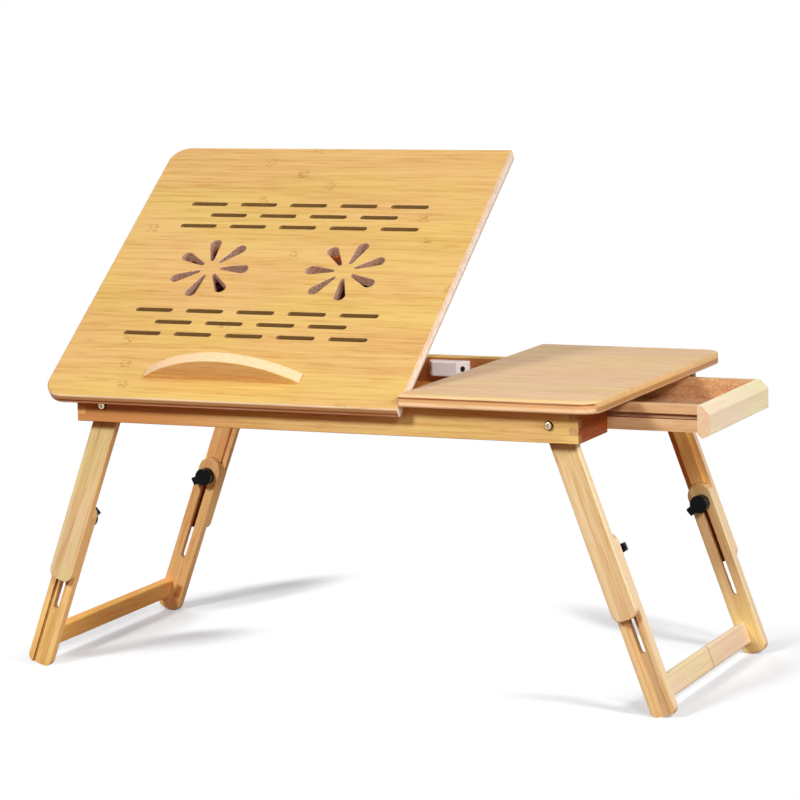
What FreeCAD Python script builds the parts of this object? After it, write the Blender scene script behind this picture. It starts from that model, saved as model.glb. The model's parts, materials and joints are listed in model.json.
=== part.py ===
import FreeCAD, Part
import math
import os

# Folding bamboo laptop table: a tilting fan panel, a fixed side board with a drawer under it, and
# two pairs of telescopic folding legs. Millimetres. X runs left to right, Y front to back, Z up.
# The part stands in use: panel tilted, drawer part open, legs open and fully out. Every piece is
# built about the middle of the top, and written with the origin on the floor, under the middle of
# the whole part's bounding box.

V = FreeCAD.Vector

# ---- top ----
TOP_L = 550.0           # both boards together, left to right
TOP_W = 350.0           # front to back
TOP_T = 11.8            # board thickness
TOP_R = 20.0            # outer corner radius
TOP_EDGE = 2.6          # rounding of the outer edges
SIDE_BOARD_L = 185.5    # fixed board, left to right
SPLIT_GAP = 0.8         # between the panel and the fixed board
TILT = 36.75            # panel tilt, degrees
PANEL_GAP = 0.1         # panel underside above the rails when it lies flat

# ---- frame ----
FRAME_INSET_LEFT = 27.0     # frame's ends and long sides, from the top's edges
FRAME_INSET_RIGHT = 22.5
FRAME_INSET_SIDE = 17.7
RAIL_H = 28.7
RAIL_T = 8.5
FINGERS = 4             # divisions of a corner finger joint
RAIL_EASE = 0.8         # eased long edges
NEAR_ROUND = 0.98       # share of a half-width that a nearly full rounding takes
MID_RAIL_T = 12.0
MID_RAIL_LAP = 5.5      # how far the middle rail reaches under the fixed board
FLANGE_W = 44.0         # the middle rail's flange, under the panel's right front corner
FLANGE_L = 129.0        # its length, from the front rail back
FLANGE_T = 9.0
CROSS_RAIL_LIFT = 7.0   # lower edge of the inner rails above the frame's: folded legs pass under

# ---- legs ----
SPLAY = 20.3            # from upright, degrees
FOLD = 99.3             # swing from open to folded, degrees
LEG_W = 24.0
UPPER_T = 8.5
LOWER_T = 10.0
CHANNEL_W = 13.0
CHANNEL_D = 3.0
TONGUE_CLEAR = 0.2
LEG_SLIDE_CLEAR = 0.1   # between the sliding faces of upper and lower leg
UPPER_END = 184.3       # pivot to the end of the upper leg
UPPER_END_R = 8.5
LOWER_TOP = 105.6       # pivot to the top of the lower leg, pulled out
FOOT_END = 276.2        # pivot to the foot
FOOT_R = 8.0
FOOT_FLAT = 0.8         # depth of the flat on which a foot stands
TRAVEL = 90.5           # lower leg, from out to in
CLAMP_U = 124.1         # pivot to the clamp bolt
SLOT_CLEAR = 0.25
LEG_EDGE = 1.2
STOP_CLEAR = 0.15       # open leg to the end board that stops it
CROSSBAR_U = 244.4      # pivot to the crossbar's upper edge
CROSSBAR_H = 21.0
CROSSBAR_T = 8.5
CROSSBAR_RIGHT = -9.2   # its inner face from the leg's middle, outwards
CROSSBAR_LEFT = 2.6
CROSSBAR_EDGE = 2.0

# ---- leg pivots and clamps ----
PIVOT_UP = 15.7         # leg pivot above the frame's lower edge
BOLT_R = 2.5
BOLT_RUN = 0.05         # running clearance round a bolt
HOLE_CLEAR = 0.1        # clearance round a fixed bolt or screw
HEAD_R = 3.9
HEAD_H = 3.0
HEAD_DOME = 1.4         # rounding of the head's rim
HEAD_SLOT_L = 4.4
HEAD_SLOT_W = 1.1
SPACER_T = 5.1          # between rail and leg
SPACER_R = 8.0
FACE_GAP = 0.1          # moving face to its spacer, washer or nut
PIVOT_NUT_R = 6.0
PIVOT_NUT_H = 2.5
PIVOT_NUT_DOME = 1.0
CLAMP_WASHER_R = 7.0
CLAMP_WASHER_T = 1.0
CLAMP_BURY = 7.0        # bolt length held in the upper leg, behind its sliding face
KNOB_R = 8.75
KNOB_H = 10.0
KNOB_WING = 13.8
KNOB_WING_W = 8.0
KNOB_WING_LOW = 1.5     # wing's foot above the knob's face
KNOB_WING_H = 7.5
KNOB_WING_EASE = 2.4
KNOB_CAP = 1.6
KNOB_ANGLES = {"front_right": 22.0, "rear_right": 221.0, "front_left": 40.0, "rear_left": 204.0}
                        # each wing's direction, degrees from +X towards +Z

# ---- butt hinges under the panel's front edge ----
HINGE_FROM_LEFT = 80.0      # hinge middles from the panel's two ends
HINGE_FROM_RIGHT = 73.7
HINGE_L = 40.0
HINGE_LEAF_T = 1.2
HINGE_FRAME_LEAF = 8.0
HINGE_PANEL_LEAF = 16.0
HINGE_KNUCKLE_R = 2.6
HINGE_KNUCKLES = 5
HINGE_KNUCKLE_GAP = 0.2
HINGE_PIN_R = 1.25
HINGE_SETBACK = 0.3     # axis in front of the rail's face
HINGE_RELIEF = 0.4      # wood round the knuckles
HINGE_SCREW_R = 1.2
HINGE_SCREW_HEAD_R = 2.1
HINGE_SCREW_L = 8.0
HINGE_FRAME_SCREW_Y = 4.65      # screws behind the rail's face
HINGE_PANEL_SCREW_Y = 9.6       # screws behind the hinge axis

# ---- vents and ledge ----
VENT_LEFT = 2.7         # middle of the vent pattern, left of and behind the panel's own middle
VENT_BEHIND = 0.6
VENT_EDGE = 1.0         # rounding of the vents' upper edges
SLOT_L = 38.9
SLOT_W = 5.0
SLOT_PITCH = 53.4
SLOT_ROWS = (90.5, 74.8, 59.0)      # distance from the pattern's middle
SLOT_COUNTS = (5, 4, 5)
FLOWER_X = 70.3         # flower centre from the pattern's middle
PETALS = 7
PETAL_TIP = 40.0
PETAL_ROOT = 10.2
PETAL_TIP_R = 5.6
PETAL_ROOT_R = 1.8
PETAL_PHASE = (102.2, 128.0)                    # left and right flower, degrees
LEDGE_L = 159.0
LEDGE_H = 25.6
LEDGE_T = 12.0
LEDGE_END_H = 2.5
LEDGE_Y = 25.4          # its front face from the panel's front edge
LEDGE_EASE = 0.8
LEDGE_SCREW_X = 44.0
LEDGE_SCREW_R = 1.5
LEDGE_SCREW_HEAD_R = 3.0
LEDGE_SCREW_L = 17.0

# ---- fans ----
FAN_SIZE = 80.0
FAN_T = 15.0
FAN_R = 6.0
FAN_BORE_R = 38.0
FAN_HOLES = 71.5
FAN_HOLE_R = 2.15
FAN_SCREW_R = 1.9
FAN_SCREW_HEAD_R = 3.6
FAN_SCREW_BITE = 6.0
FAN_BASE = 2.5
FAN_STATOR_R = 13.0
FAN_STATOR_H = 6.0
FAN_STRUT_W = 3.4
FAN_STRUTS = 4
FAN_STRUT_TURN = 45.0
SHAFT_R = 1.5
HUB_R = 17.0
HUB_WALL = 1.8
HUB_FLOOR = 1.6
IMPELLER_LIFT = 3.6
IMPELLER_H = 10.0
BLADES = 7
BLADE_R = 36.8
BLADE_T = 1.5
BLADE_CHORD = 20.0
BLADE_PITCH = 38.0
BLADE_TRIM = 0.4        # blades short of the impeller's two faces
SHAFT_END = 1.0         # shaft's lower end above the fan's face

# ---- tilt prop and the notched rail under it, between the fans ----
PROP_D = 136.0          # panel hinge to prop pivot
PROP_DROP = 11.0        # prop pivot below the hinge axis when the panel lies flat
PROP_GAP = 22.0         # between the two arms
PROP_ARM_W = 14.0
PROP_ARM_T = 10.0
PROP_BAR_R = 4.5
PROP_BAR_END = 1.5      # bar past each arm
PROP_STRETCHER_Y = 72.0
PROP_STRETCHER_W = 14.0
PROP_STRETCHER_T = 8.0
PROP_PIN_R = 2.5
BLOCK_W = 18.0
BLOCK_CLEAR = 1.0       # each side, between the arms
BLOCK_BELOW = 8.0       # block below the prop pivot
BLOCK_EASE = 4.0
BLOCK_SCREW_Y = 6.2
BLOCK_SCREW_R = 1.5
BLOCK_SCREW_HEAD_R = 2.8
BLOCK_SCREW_BITE = 6.0
TILT_RAIL_W = 16.0
TILT_RAIL_CLEAR = 1.8   # its deep middle stretch ends this far short of the folded knobs
TILT_RAIL_DIP = 6.0     # hollow under the pivot block
TILT_RAIL_DIP_L = 34.0
RACK_CLEAR = 0.9        # notched edge below the bar's path
RACK_NOTCH = 3.0
RACK_NOTCH_R = 4.8
RACK_PITCH = 13.0
RACK_NOTCHES = 4

# ---- drawer ----
DRAWER_GAP = 0.6        # each side, in its opening
DRAWER_OPENING = 171.0
DRAWER_OUT = 95.5       # how far it stands open
DRAWER_FRONT_T = 11.6
DRAWER_LIP = 2.2        # the front reaches this far below the frame
DRAWER_FRONT_DOWN = 1.9     # its top below the frame's
DRAWER_BEVEL = 7.6
DRAWER_PULL = 4.0       # finger pull's chamfer at the back of the lower edge
DRAWER_CHAMFER_X = 6.2  # and the chamfer at its front, measured back and up
DRAWER_CHAMFER_Z = 3.2
DRAWER_SIDE_L = 143.0
DRAWER_SIDE_H = 24.0
DRAWER_SIDE_T = 9.0
DRAWER_SIDE_LIFT = 2.9      # sides above the frame's lower edge
DRAWER_FLOOR_T = 3.0
DRAWER_FLOOR_LIFT = 1.2
DRAWER_FLOOR_LET_IN = 3.0
RUNNER_H = 3.4
RUNNER_PROUD = 4.0
RUNNER_LET_IN = 3.0
RUNNER_UP = 16.3            # runner's middle above the frame's lower edge
RUNNER_GAP = 0.3
RUNNER_END = 0.5            # short of the closed drawer's front
GROOVE_D = 3.8
GUIDE_LIFT = 2.0

# ---- small fixings ----
DOWEL_R = 3.0
DOWEL_L = 15.0
DOWEL_UP = 7.0          # dowel length in the board
DOWEL_FROM_SPLIT = 30.5
DOWEL_FROM_FRAME_END = 17.5
GUIDE_DOWEL_FROM_SPLIT = 80.5

# ---- fan power hub ----
HUB_BOX_FRONT = 27.0
HUB_BOX_BACK = 42.0
HUB_BOX_D = 16.0
HUB_BOX_SQUARE = 4.0    # depth at the back before the ends slant in
HUB_BOX_H = 14.6
HUB_BOX_DOWN = 3.9      # its top below the rail's
HUB_BOX_EASE = 1.4
HUB_BOX_CORNER = 3.0    # rounding of its upright corners
JACK_R = 2.9
JACK_HOLE_R = 1.1
JACK_L = 4.0

# ---- worked out from the values above ----
ALPHA = math.radians(SPLAY)
LEG_HALF = LEG_W / 2
PIVOT_Z = ((FOOT_END - FOOT_R) * math.cos(ALPHA) + (LEG_HALF - FOOT_R) * math.sin(ALPHA)
           + FOOT_R - FOOT_FLAT)
RAIL_Z0 = PIVOT_Z - PIVOT_UP
RAIL_Z1 = RAIL_Z0 + RAIL_H
FRAME_X0 = -TOP_L / 2 + FRAME_INSET_LEFT
FRAME_X1 = TOP_L / 2 - FRAME_INSET_RIGHT
FRAME_CX = (FRAME_X0 + FRAME_X1) / 2
FRAME_Y = TOP_W / 2 - FRAME_INSET_SIDE
INNER_X0 = FRAME_X0 + RAIL_T
INNER_X1 = FRAME_X1 - RAIL_T
INNER_Y = FRAME_Y - RAIL_T
PIVOT_INSET = PIVOT_UP * math.tan(ALPHA) + (LEG_HALF + STOP_CLEAR) / math.cos(ALPHA)
PIVOT_X = INNER_X1 - PIVOT_INSET

SIDE_BOARD_X0 = TOP_L / 2 - SIDE_BOARD_L
PANEL_X1 = SIDE_BOARD_X0 - SPLIT_GAP
PANEL_Z0 = RAIL_Z1 + PANEL_GAP
PANEL_Y0 = -TOP_W / 2
MID_X0 = SIDE_BOARD_X0 + MID_RAIL_LAP - MID_RAIL_T
MID_X1 = SIDE_BOARD_X0 + MID_RAIL_LAP
DOWEL_X = (SIDE_BOARD_X0 + DOWEL_FROM_SPLIT, FRAME_X1 - DOWEL_FROM_FRAME_END)
GUIDE_DOWEL_X = SIDE_BOARD_X0 + GUIDE_DOWEL_FROM_SPLIT
HINGE_X = (-TOP_L / 2 + HINGE_FROM_LEFT, PANEL_X1 - HINGE_FROM_RIGHT)
HINGE_Y = -FRAME_Y - HINGE_SETBACK
HINGE_Z = RAIL_Z1 + PANEL_GAP / 2

UPPER_Y0 = INNER_Y - SPACER_T - FACE_GAP      # outer face of an upper leg, from the middle
UPPER_Y1 = UPPER_Y0 - UPPER_T                       # its sliding face
LOWER_Y0 = UPPER_Y1 - LEG_SLIDE_CLEAR
LOWER_Y1 = LOWER_Y0 - LOWER_T
TONGUE_Y = UPPER_Y1 - (CHANNEL_D - TONGUE_CLEAR)
CLAMP_WASHER_Y = LOWER_Y1 - FACE_GAP
KNOB_Y = CLAMP_WASHER_Y - CLAMP_WASHER_T - FACE_GAP

VENT_X = (PANEL_X1 - TOP_L / 2) / 2 - VENT_LEFT
VENT_CY = VENT_BEHIND
FAN_Z0 = PANEL_Z0 - FAN_T
FAN_X = (VENT_X - FLOWER_X, VENT_X + FLOWER_X)
LEDGE_Y0 = PANEL_Y0 + LEDGE_Y

THETA = math.radians(TILT)
PROP_Y = HINGE_Y + PROP_D
PROP_Z = HINGE_Z - PROP_DROP
PROP_L = PROP_D + PROP_DROP * (1 - math.cos(THETA)) / math.sin(THETA)
PROP_BAR_Y = PROP_Y + PROP_L
PROP_SEAT_Y = HINGE_Y + (PROP_D + PROP_L) * math.cos(THETA) + PROP_DROP * math.sin(THETA)
RACK_Z1 = PROP_Z - PROP_BAR_R - RACK_CLEAR
TILT_RAIL_DEEP = KNOB_Y - KNOB_H - TILT_RAIL_CLEAR      # half-length as deep as the frame

DRAWER_HALF = DRAWER_OPENING / 2
DRAWER_FRONT_X1 = FRAME_X1 + DRAWER_OUT
DRAWER_FRONT_X0 = DRAWER_FRONT_X1 - DRAWER_FRONT_T
DRAWER_BACK_X = DRAWER_FRONT_X0 - DRAWER_SIDE_L
DRAWER_Y = DRAWER_HALF - DRAWER_GAP
DRAWER_IN_Y = DRAWER_Y - DRAWER_SIDE_T
DRAWER_Z0 = RAIL_Z0 + DRAWER_SIDE_LIFT
RUNNER_X1 = FRAME_X1 - DRAWER_FRONT_T - RUNNER_END
RUNNER_Z0 = RAIL_Z0 + RUNNER_UP - RUNNER_H / 2
FLOOR_Z0 = DRAWER_Z0 + DRAWER_FLOOR_LIFT

FOOT_X = (2 * FRAME_CX - PIVOT_X - (FOOT_END - FOOT_R) * math.sin(ALPHA)
          - (LEG_HALF - FOOT_R) * math.cos(ALPHA) - FOOT_R)         # tip of the left feet
PANEL_TIP_Y = (HINGE_Y + (PANEL_Y0 + TOP_EDGE - HINGE_Y) * math.cos(THETA)
               - (PANEL_Z0 + TOP_T - TOP_EDGE - HINGE_Z) * math.sin(THETA) - TOP_EDGE)
MIDDLE_X = (FOOT_X + DRAWER_FRONT_X1) / 2
MIDDLE_Y = (PANEL_TIP_Y + TOP_W / 2) / 2


# ---- helpers ----
def box(x0, x1, y0, y1, z0, z1):
    return Part.makeBox(x1 - x0, y1 - y0, z1 - z0, V(x0, y0, z0))


def rod(radius, start, direction, length):
    return Part.makeCylinder(radius, length, start, direction)


def prism(points, direction):
    """A solid swept along direction from the closed outline through points."""
    outline = Part.makePolygon(list(points) + [points[0]])
    return Part.Face(outline).extrude(direction)


def ease(shape, radius, pick):
    """Round the edges whose bounding box satisfies pick."""
    return shape.makeFillet(radius, [e for e in shape.Edges if pick(e.BoundBox)])


def near(a, b):
    return abs(a - b) < 1e-4


def mirror_x(shape):
    return shape.mirror(V(FRAME_CX, 0, 0), V(1, 0, 0))


def mirror_y(shape):
    return shape.mirror(V(0, 0, 0), V(0, 1, 0))


def both(shape, mirror):
    return Part.makeCompound([shape, mirror(shape)])


def splayed(shape):
    """Swing a leg piece, built hanging straight down from the right pivot, out to its splay."""
    shape = shape.copy()
    shape.rotate(V(0, 0, 0), V(0, 1, 0), -SPLAY)
    shape.translate(V(PIVOT_X, 0, PIVOT_Z))
    return shape


def tilted(shape):
    """Raise a piece, built on the panel lying flat, to the panel's tilt."""
    shape = shape.copy()
    shape.rotate(V(0, HINGE_Y, HINGE_Z), V(1, 0, 0), TILT)
    return shape


def propped(shape):
    """Swing a piece of the prop down from the flat panel, then raise it with the panel."""
    shape = shape.copy()
    shape.rotate(V(0, PROP_Y, PROP_Z), V(1, 0, 0), -2 * TILT)
    return tilted(shape)


def screw(radius, head_r, length, tip, direction):
    """A countersunk screw whose head face is at tip and whose point goes along direction."""
    head_h = head_r - radius
    head = Part.makeCone(head_r, radius, head_h, tip, direction)
    shank = rod(radius, tip + direction * head_h, direction, length - head_h)
    return head.fuse(shank)


def export(name, shape):
    """Write one piece in the whole part's frame."""
    shape = shape.copy()
    shape.translate(V(-MIDDLE_X, -MIDDLE_Y, 0))
    shape.exportStep("parts/%s.step" % name)


# ---- frame ----
def finger_notches(x0, x1, y0, y1, kept):
    """The parts of a corner that belong to the other board: every division but those kept."""
    step = RAIL_H / FINGERS
    return [box(x0, x1, y0, y1, RAIL_Z0 + k * step, RAIL_Z0 + (k + 1) * step)
            for k in range(FINGERS) if k % 2 != kept]


def hinge_mortises():
    """Room in the front rail for the frame leaves and the knuckles."""
    cuts = []
    for x in HINGE_X:
        x0 = x - HINGE_L / 2 - HOLE_CLEAR
        x1 = x + HINGE_L / 2 + HOLE_CLEAR
        cuts.append(box(x0, x1, HINGE_Y, HINGE_Y + HINGE_FRAME_LEAF + HOLE_CLEAR,
                        RAIL_Z1 - HINGE_LEAF_T, RAIL_Z1 + HINGE_LEAF_T))
        cuts.append(rod(HINGE_KNUCKLE_R + HINGE_RELIEF, V(x0, HINGE_Y, HINGE_Z), V(1, 0, 0), x1 - x0))
    return cuts


def long_rail():
    """Front rail: fingers at both ends, pivot bolt holes, board dowel holes."""
    rail = box(FRAME_X0, FRAME_X1, -FRAME_Y, -INNER_Y, RAIL_Z0, RAIL_Z1)
    rail = ease(rail, RAIL_EASE, lambda b: near(b.ZMin, b.ZMax) and near(b.YMin, b.YMax)
                and near(b.ZMin, RAIL_Z0))
    cuts = finger_notches(FRAME_X0, INNER_X0, -FRAME_Y, -INNER_Y, 0)
    cuts += finger_notches(INNER_X1, FRAME_X1, -FRAME_Y, -INNER_Y, 0)
    for x in (PIVOT_X, 2 * FRAME_CX - PIVOT_X):
        cuts.append(rod(BOLT_R + HOLE_CLEAR, V(x, -FRAME_Y - 1, PIVOT_Z), V(0, 1, 0), RAIL_T + 2))
    for x in DOWEL_X:
        cuts.append(dowel(x, -FRAME_Y + RAIL_T / 2, HOLE_CLEAR / 2))
    return rail.cut(cuts)


def front_rail():
    screws = [hinge_frame_screw(x, k, HOLE_CLEAR / 2) for x in HINGE_X for k in (-1, 0, 1)]
    return long_rail().cut(hinge_mortises() + screws)


def rear_rail():
    return mirror_y(long_rail())


def left_end_rail():
    rail = box(FRAME_X0, INNER_X0, -FRAME_Y, FRAME_Y, RAIL_Z0, RAIL_Z1)
    cuts = finger_notches(FRAME_X0, INNER_X0, -FRAME_Y, -INNER_Y, 1)
    cuts += finger_notches(FRAME_X0, INNER_X0, INNER_Y, FRAME_Y, 1)
    return rail.cut(cuts)


def right_end_front_board():
    board = box(INNER_X1, FRAME_X1, -FRAME_Y, -DRAWER_HALF, RAIL_Z0, RAIL_Z1)
    return board.cut(finger_notches(INNER_X1, FRAME_X1, -FRAME_Y, -INNER_Y, 1))


def right_end_rear_board():
    return mirror_y(right_end_front_board())


def middle_rail():
    """Rail under the split, with a flange that carries the panel's right front corner when it is flat."""
    web = box(MID_X0, MID_X1, -INNER_Y, INNER_Y, RAIL_Z0 + CROSS_RAIL_LIFT, RAIL_Z1)
    flange = box(MID_X0 - FLANGE_W, MID_X0, -INNER_Y, FLANGE_L - INNER_Y, RAIL_Z1 - FLANGE_T, RAIL_Z1)
    return web.fuse(flange).removeSplitter()


def front_drawer_guide():
    """Board beside the drawer, grooved for its runner."""
    guide = box(MID_X1, INNER_X1, -DRAWER_HALF - RAIL_T, -DRAWER_HALF, RAIL_Z0 + GUIDE_LIFT, RAIL_Z1)
    return guide.cut([front_runner(), dowel(GUIDE_DOWEL_X, -DRAWER_HALF - RAIL_T / 2, HOLE_CLEAR / 2)])


def rear_drawer_guide():
    return mirror_y(front_drawer_guide())


def front_runner():
    return box(MID_X1, RUNNER_X1, -DRAWER_HALF - RUNNER_LET_IN, -DRAWER_HALF + RUNNER_PROUD,
               RUNNER_Z0, RUNNER_Z0 + RUNNER_H)


def drawer_runners():
    return both(front_runner(), mirror_y)


def dowel(x, y, clear):
    return rod(DOWEL_R + clear, V(x, y, RAIL_Z1 + DOWEL_UP - DOWEL_L), V(0, 0, 1), DOWEL_L)


def dowels(clear):
    places = [(x, -FRAME_Y + RAIL_T / 2) for x in DOWEL_X]
    places.append((GUIDE_DOWEL_X, -DRAWER_HALF - RAIL_T / 2))
    front = Part.makeCompound([dowel(x, y, clear) for x, y in places])
    return both(front, mirror_y)


def top_slab(x0, x1, z0, round_x):
    """One board of the top: the corners and edges away from the split are rounded."""
    slab = box(x0, x1, -TOP_W / 2, TOP_W / 2, z0, z0 + TOP_T)
    slab = ease(slab, TOP_R, lambda b: near(b.XMin, b.XMax) and near(b.XMin, round_x)
                and near(b.YMin, b.YMax))
    split_x = x0 + x1 - round_x
    return ease(slab, TOP_EDGE, lambda b: near(b.ZMin, b.ZMax)
                and not (near(b.XMin, b.XMax) and near(b.XMin, split_x)))


def fixed_side_board():
    slab = top_slab(SIDE_BOARD_X0, TOP_L / 2, RAIL_Z1, TOP_L / 2)
    return slab.cut(dowels(HOLE_CLEAR / 2))


def tilt_rail():
    """Rail from front to rear on which the prop's bar seats, one notch for each panel height."""
    x0 = VENT_X - TILT_RAIL_W / 2
    x1 = VENT_X + TILT_RAIL_W / 2
    rail = box(x0, x1, -INNER_Y, INNER_Y, RAIL_Z0 + CROSS_RAIL_LIFT, RACK_Z1)
    rail = rail.fuse(box(x0, x1, -TILT_RAIL_DEEP, TILT_RAIL_DEEP, RAIL_Z0, RACK_Z1)).removeSplitter()
    dip = box(x0, x1, PROP_Y - TILT_RAIL_DIP_L / 2, PROP_Y + TILT_RAIL_DIP_L / 2,
              RACK_Z1 - TILT_RAIL_DIP, RACK_Z1 + 1)
    seat_z = RACK_Z1 - RACK_NOTCH + RACK_NOTCH_R
    notches = [rod(RACK_NOTCH_R, V(x0 - 1, PROP_SEAT_Y + k * RACK_PITCH, seat_z), V(1, 0, 0), TILT_RAIL_W + 2)
               for k in range(RACK_NOTCHES)]
    return rail.cut([dip] + notches)


# ---- fan power hub on the rear rail ----
def hub_plan():
    front = INNER_Y - HUB_BOX_D
    square = INNER_Y - HUB_BOX_SQUARE
    half_f = HUB_BOX_FRONT / 2
    half_b = HUB_BOX_BACK / 2
    return [(-half_f, front), (half_f, front), (half_b, square), (half_b, INNER_Y),
            (-half_b, INNER_Y), (-half_b, square)]


def hub_jack(radius, length):
    """A plug of the given size, standing in the middle of the hub's right slanted end."""
    plan = hub_plan()
    (x0, y0), (x1, y1) = plan[1], plan[2]
    normal = V(y1 - y0, x0 - x1, 0).normalize()
    z = RAIL_Z1 - HUB_BOX_DOWN - HUB_BOX_H / 2
    return rod(radius, V((x0 + x1) / 2, (y0 + y1) / 2, z) - normal * length, normal, length)


def hub_mirror(shape):
    return shape.mirror(V(0, 0, 0), V(1, 0, 0))


def fan_hub_case():
    z1 = RAIL_Z1 - HUB_BOX_DOWN
    case = prism([V(x, y, z1 - HUB_BOX_H) for x, y in hub_plan()], V(0, 0, HUB_BOX_H))
    case = ease(case, HUB_BOX_CORNER, lambda b: near(b.ZLength, HUB_BOX_H) and b.YMax < INNER_Y - 1)
    case = ease(case, HUB_BOX_EASE, lambda b: near(b.ZLength, 0) and b.YMax < INNER_Y - 1)
    jack = hub_jack(JACK_R, JACK_L)
    return case.cut([jack, hub_mirror(jack)])


def fan_hub_jacks():
    jack = hub_jack(JACK_R, JACK_L).cut(hub_jack(JACK_HOLE_R, JACK_L - 1))
    return both(jack, hub_mirror)


# ---- butt hinges ----
def knuckles(x, parity):
    """Every second knuckle of the hinge centred on x, starting at parity."""
    step = HINGE_L / HINGE_KNUCKLES
    gap = HINGE_KNUCKLE_GAP / 2
    x0 = x - HINGE_L / 2
    return [rod(HINGE_KNUCKLE_R, V(x0 + k * step + gap, HINGE_Y, HINGE_Z), V(1, 0, 0), step - 2 * gap)
            for k in range(HINGE_KNUCKLES) if k % 2 == parity]


def knuckle_room(x, parity):
    step = HINGE_L / HINGE_KNUCKLES
    gap = HINGE_KNUCKLE_GAP / 2
    x0 = x - HINGE_L / 2
    return [rod(HINGE_KNUCKLE_R + HINGE_KNUCKLE_GAP, V(x0 + k * step - gap, HINGE_Y, HINGE_Z),
                V(1, 0, 0), step + 2 * gap)
            for k in range(HINGE_KNUCKLES) if k % 2 != parity]


def hinge_leaf(x, parity, depth, z0):
    plate = box(x - HINGE_L / 2, x + HINGE_L / 2, HINGE_Y, HINGE_Y + depth, z0, z0 + HINGE_LEAF_T)
    pin_hole = rod(HINGE_PIN_R + BOLT_RUN, V(x - HINGE_L, HINGE_Y, HINGE_Z), V(1, 0, 0), 2 * HINGE_L)
    return plate.cut(knuckle_room(x, parity)).fuse(knuckles(x, parity)).cut(pin_hole)


def hinge_frame_screw(x, k, clear):
    place = V(x + k * HINGE_L / 3, -FRAME_Y + HINGE_FRAME_SCREW_Y, RAIL_Z1)
    return screw(HINGE_SCREW_R + clear, HINGE_SCREW_HEAD_R + clear, HINGE_SCREW_L, place, V(0, 0, -1))


def hinge_panel_screw(x, k, clear):
    place = V(x + k * HINGE_L / 3, HINGE_Y + HINGE_PANEL_SCREW_Y, PANEL_Z0)
    return screw(HINGE_SCREW_R + clear, HINGE_SCREW_HEAD_R + clear, HINGE_SCREW_L, place, V(0, 0, 1))


def hinge_frame_leaves():
    leaves = []
    for x in HINGE_X:
        leaf = hinge_leaf(x, 0, HINGE_FRAME_LEAF, RAIL_Z1 - HINGE_LEAF_T)
        leaves.append(leaf.cut([hinge_frame_screw(x, k, HOLE_CLEAR / 2) for k in (-1, 0, 1)]))
    return Part.makeCompound(leaves)


def hinge_panel_leaves():
    leaves = []
    for x in HINGE_X:
        leaf = hinge_leaf(x, 1, HINGE_PANEL_LEAF, PANEL_Z0)
        leaves.append(leaf.cut([hinge_panel_screw(x, k, HOLE_CLEAR / 2) for k in (-1, 0, 1)]))
    return tilted(Part.makeCompound(leaves))


def hinge_pins():
    return Part.makeCompound([rod(HINGE_PIN_R, V(x - HINGE_L / 2, HINGE_Y, HINGE_Z), V(1, 0, 0), HINGE_L)
                              for x in HINGE_X])


def hinge_frame_screws():
    return Part.makeCompound([hinge_frame_screw(x, k, 0) for x in HINGE_X for k in (-1, 0, 1)])


def hinge_panel_screws():
    return tilted(Part.makeCompound([hinge_panel_screw(x, k, 0) for x in HINGE_X for k in (-1, 0, 1)]))


# ---- leg pivots ----
def all_corners(shape):
    front = both(shape, mirror_x)
    return both(front, mirror_y)


def pivot_bolt():
    """Pan-head bolt: head on the rail's outer face, shank through rail, spacer and leg."""
    start = V(PIVOT_X, -FRAME_Y, PIVOT_Z)
    head = rod(HEAD_R, start, V(0, -1, 0), HEAD_H)
    head = ease(head, HEAD_DOME, lambda b: near(b.YMin, b.YMax) and near(b.YMin, -FRAME_Y - HEAD_H))
    sizes = ((HEAD_SLOT_L, HEAD_SLOT_W), (HEAD_SLOT_W, HEAD_SLOT_L))
    slots = [box(PIVOT_X - a / 2, PIVOT_X + a / 2, -FRAME_Y - HEAD_H - 1, -FRAME_Y - HEAD_H / 2,
                 PIVOT_Z - b / 2, PIVOT_Z + b / 2) for a, b in sizes]
    shank = rod(BOLT_R, start, V(0, 1, 0), FRAME_Y - TONGUE_Y + FACE_GAP + PIVOT_NUT_H / 2)
    return head.cut(slots).fuse(shank)


def pivot_nut():
    y0 = -TONGUE_Y + FACE_GAP
    nut = rod(PIVOT_NUT_R, V(PIVOT_X, y0, PIVOT_Z), V(0, 1, 0), PIVOT_NUT_H)
    nut = ease(nut, PIVOT_NUT_DOME, lambda b: near(b.YMin, b.YMax) and near(b.YMin, y0 + PIVOT_NUT_H))
    return nut.cut(rod(BOLT_R, V(PIVOT_X, y0, PIVOT_Z), V(0, 1, 0), PIVOT_NUT_H / 2))


def pivot_spacer():
    start = V(PIVOT_X, -INNER_Y, PIVOT_Z)
    ring = rod(SPACER_R, start, V(0, 1, 0), SPACER_T)
    return ring.cut(rod(BOLT_R + BOLT_RUN, start, V(0, 1, 0), SPACER_T))


# ---- legs, built hanging straight down from a pivot at the origin, on the front right ----
def leg_blank(u0, u1, y0, y1, top_r, end_r):
    """A strip from u0 to u1 down the leg, rounded at both ends."""
    blank = box(-LEG_HALF, LEG_HALF, -y0, -y1, -u1, -u0)
    blank = ease(blank, top_r, lambda b: near(b.XMin, b.XMax) and near(b.ZMin, b.ZMax) and near(b.ZMin, -u0))
    blank = ease(blank, end_r, lambda b: near(b.XMin, b.XMax) and near(b.ZMin, b.ZMax) and near(b.ZMin, -u1))
    return blank


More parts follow.
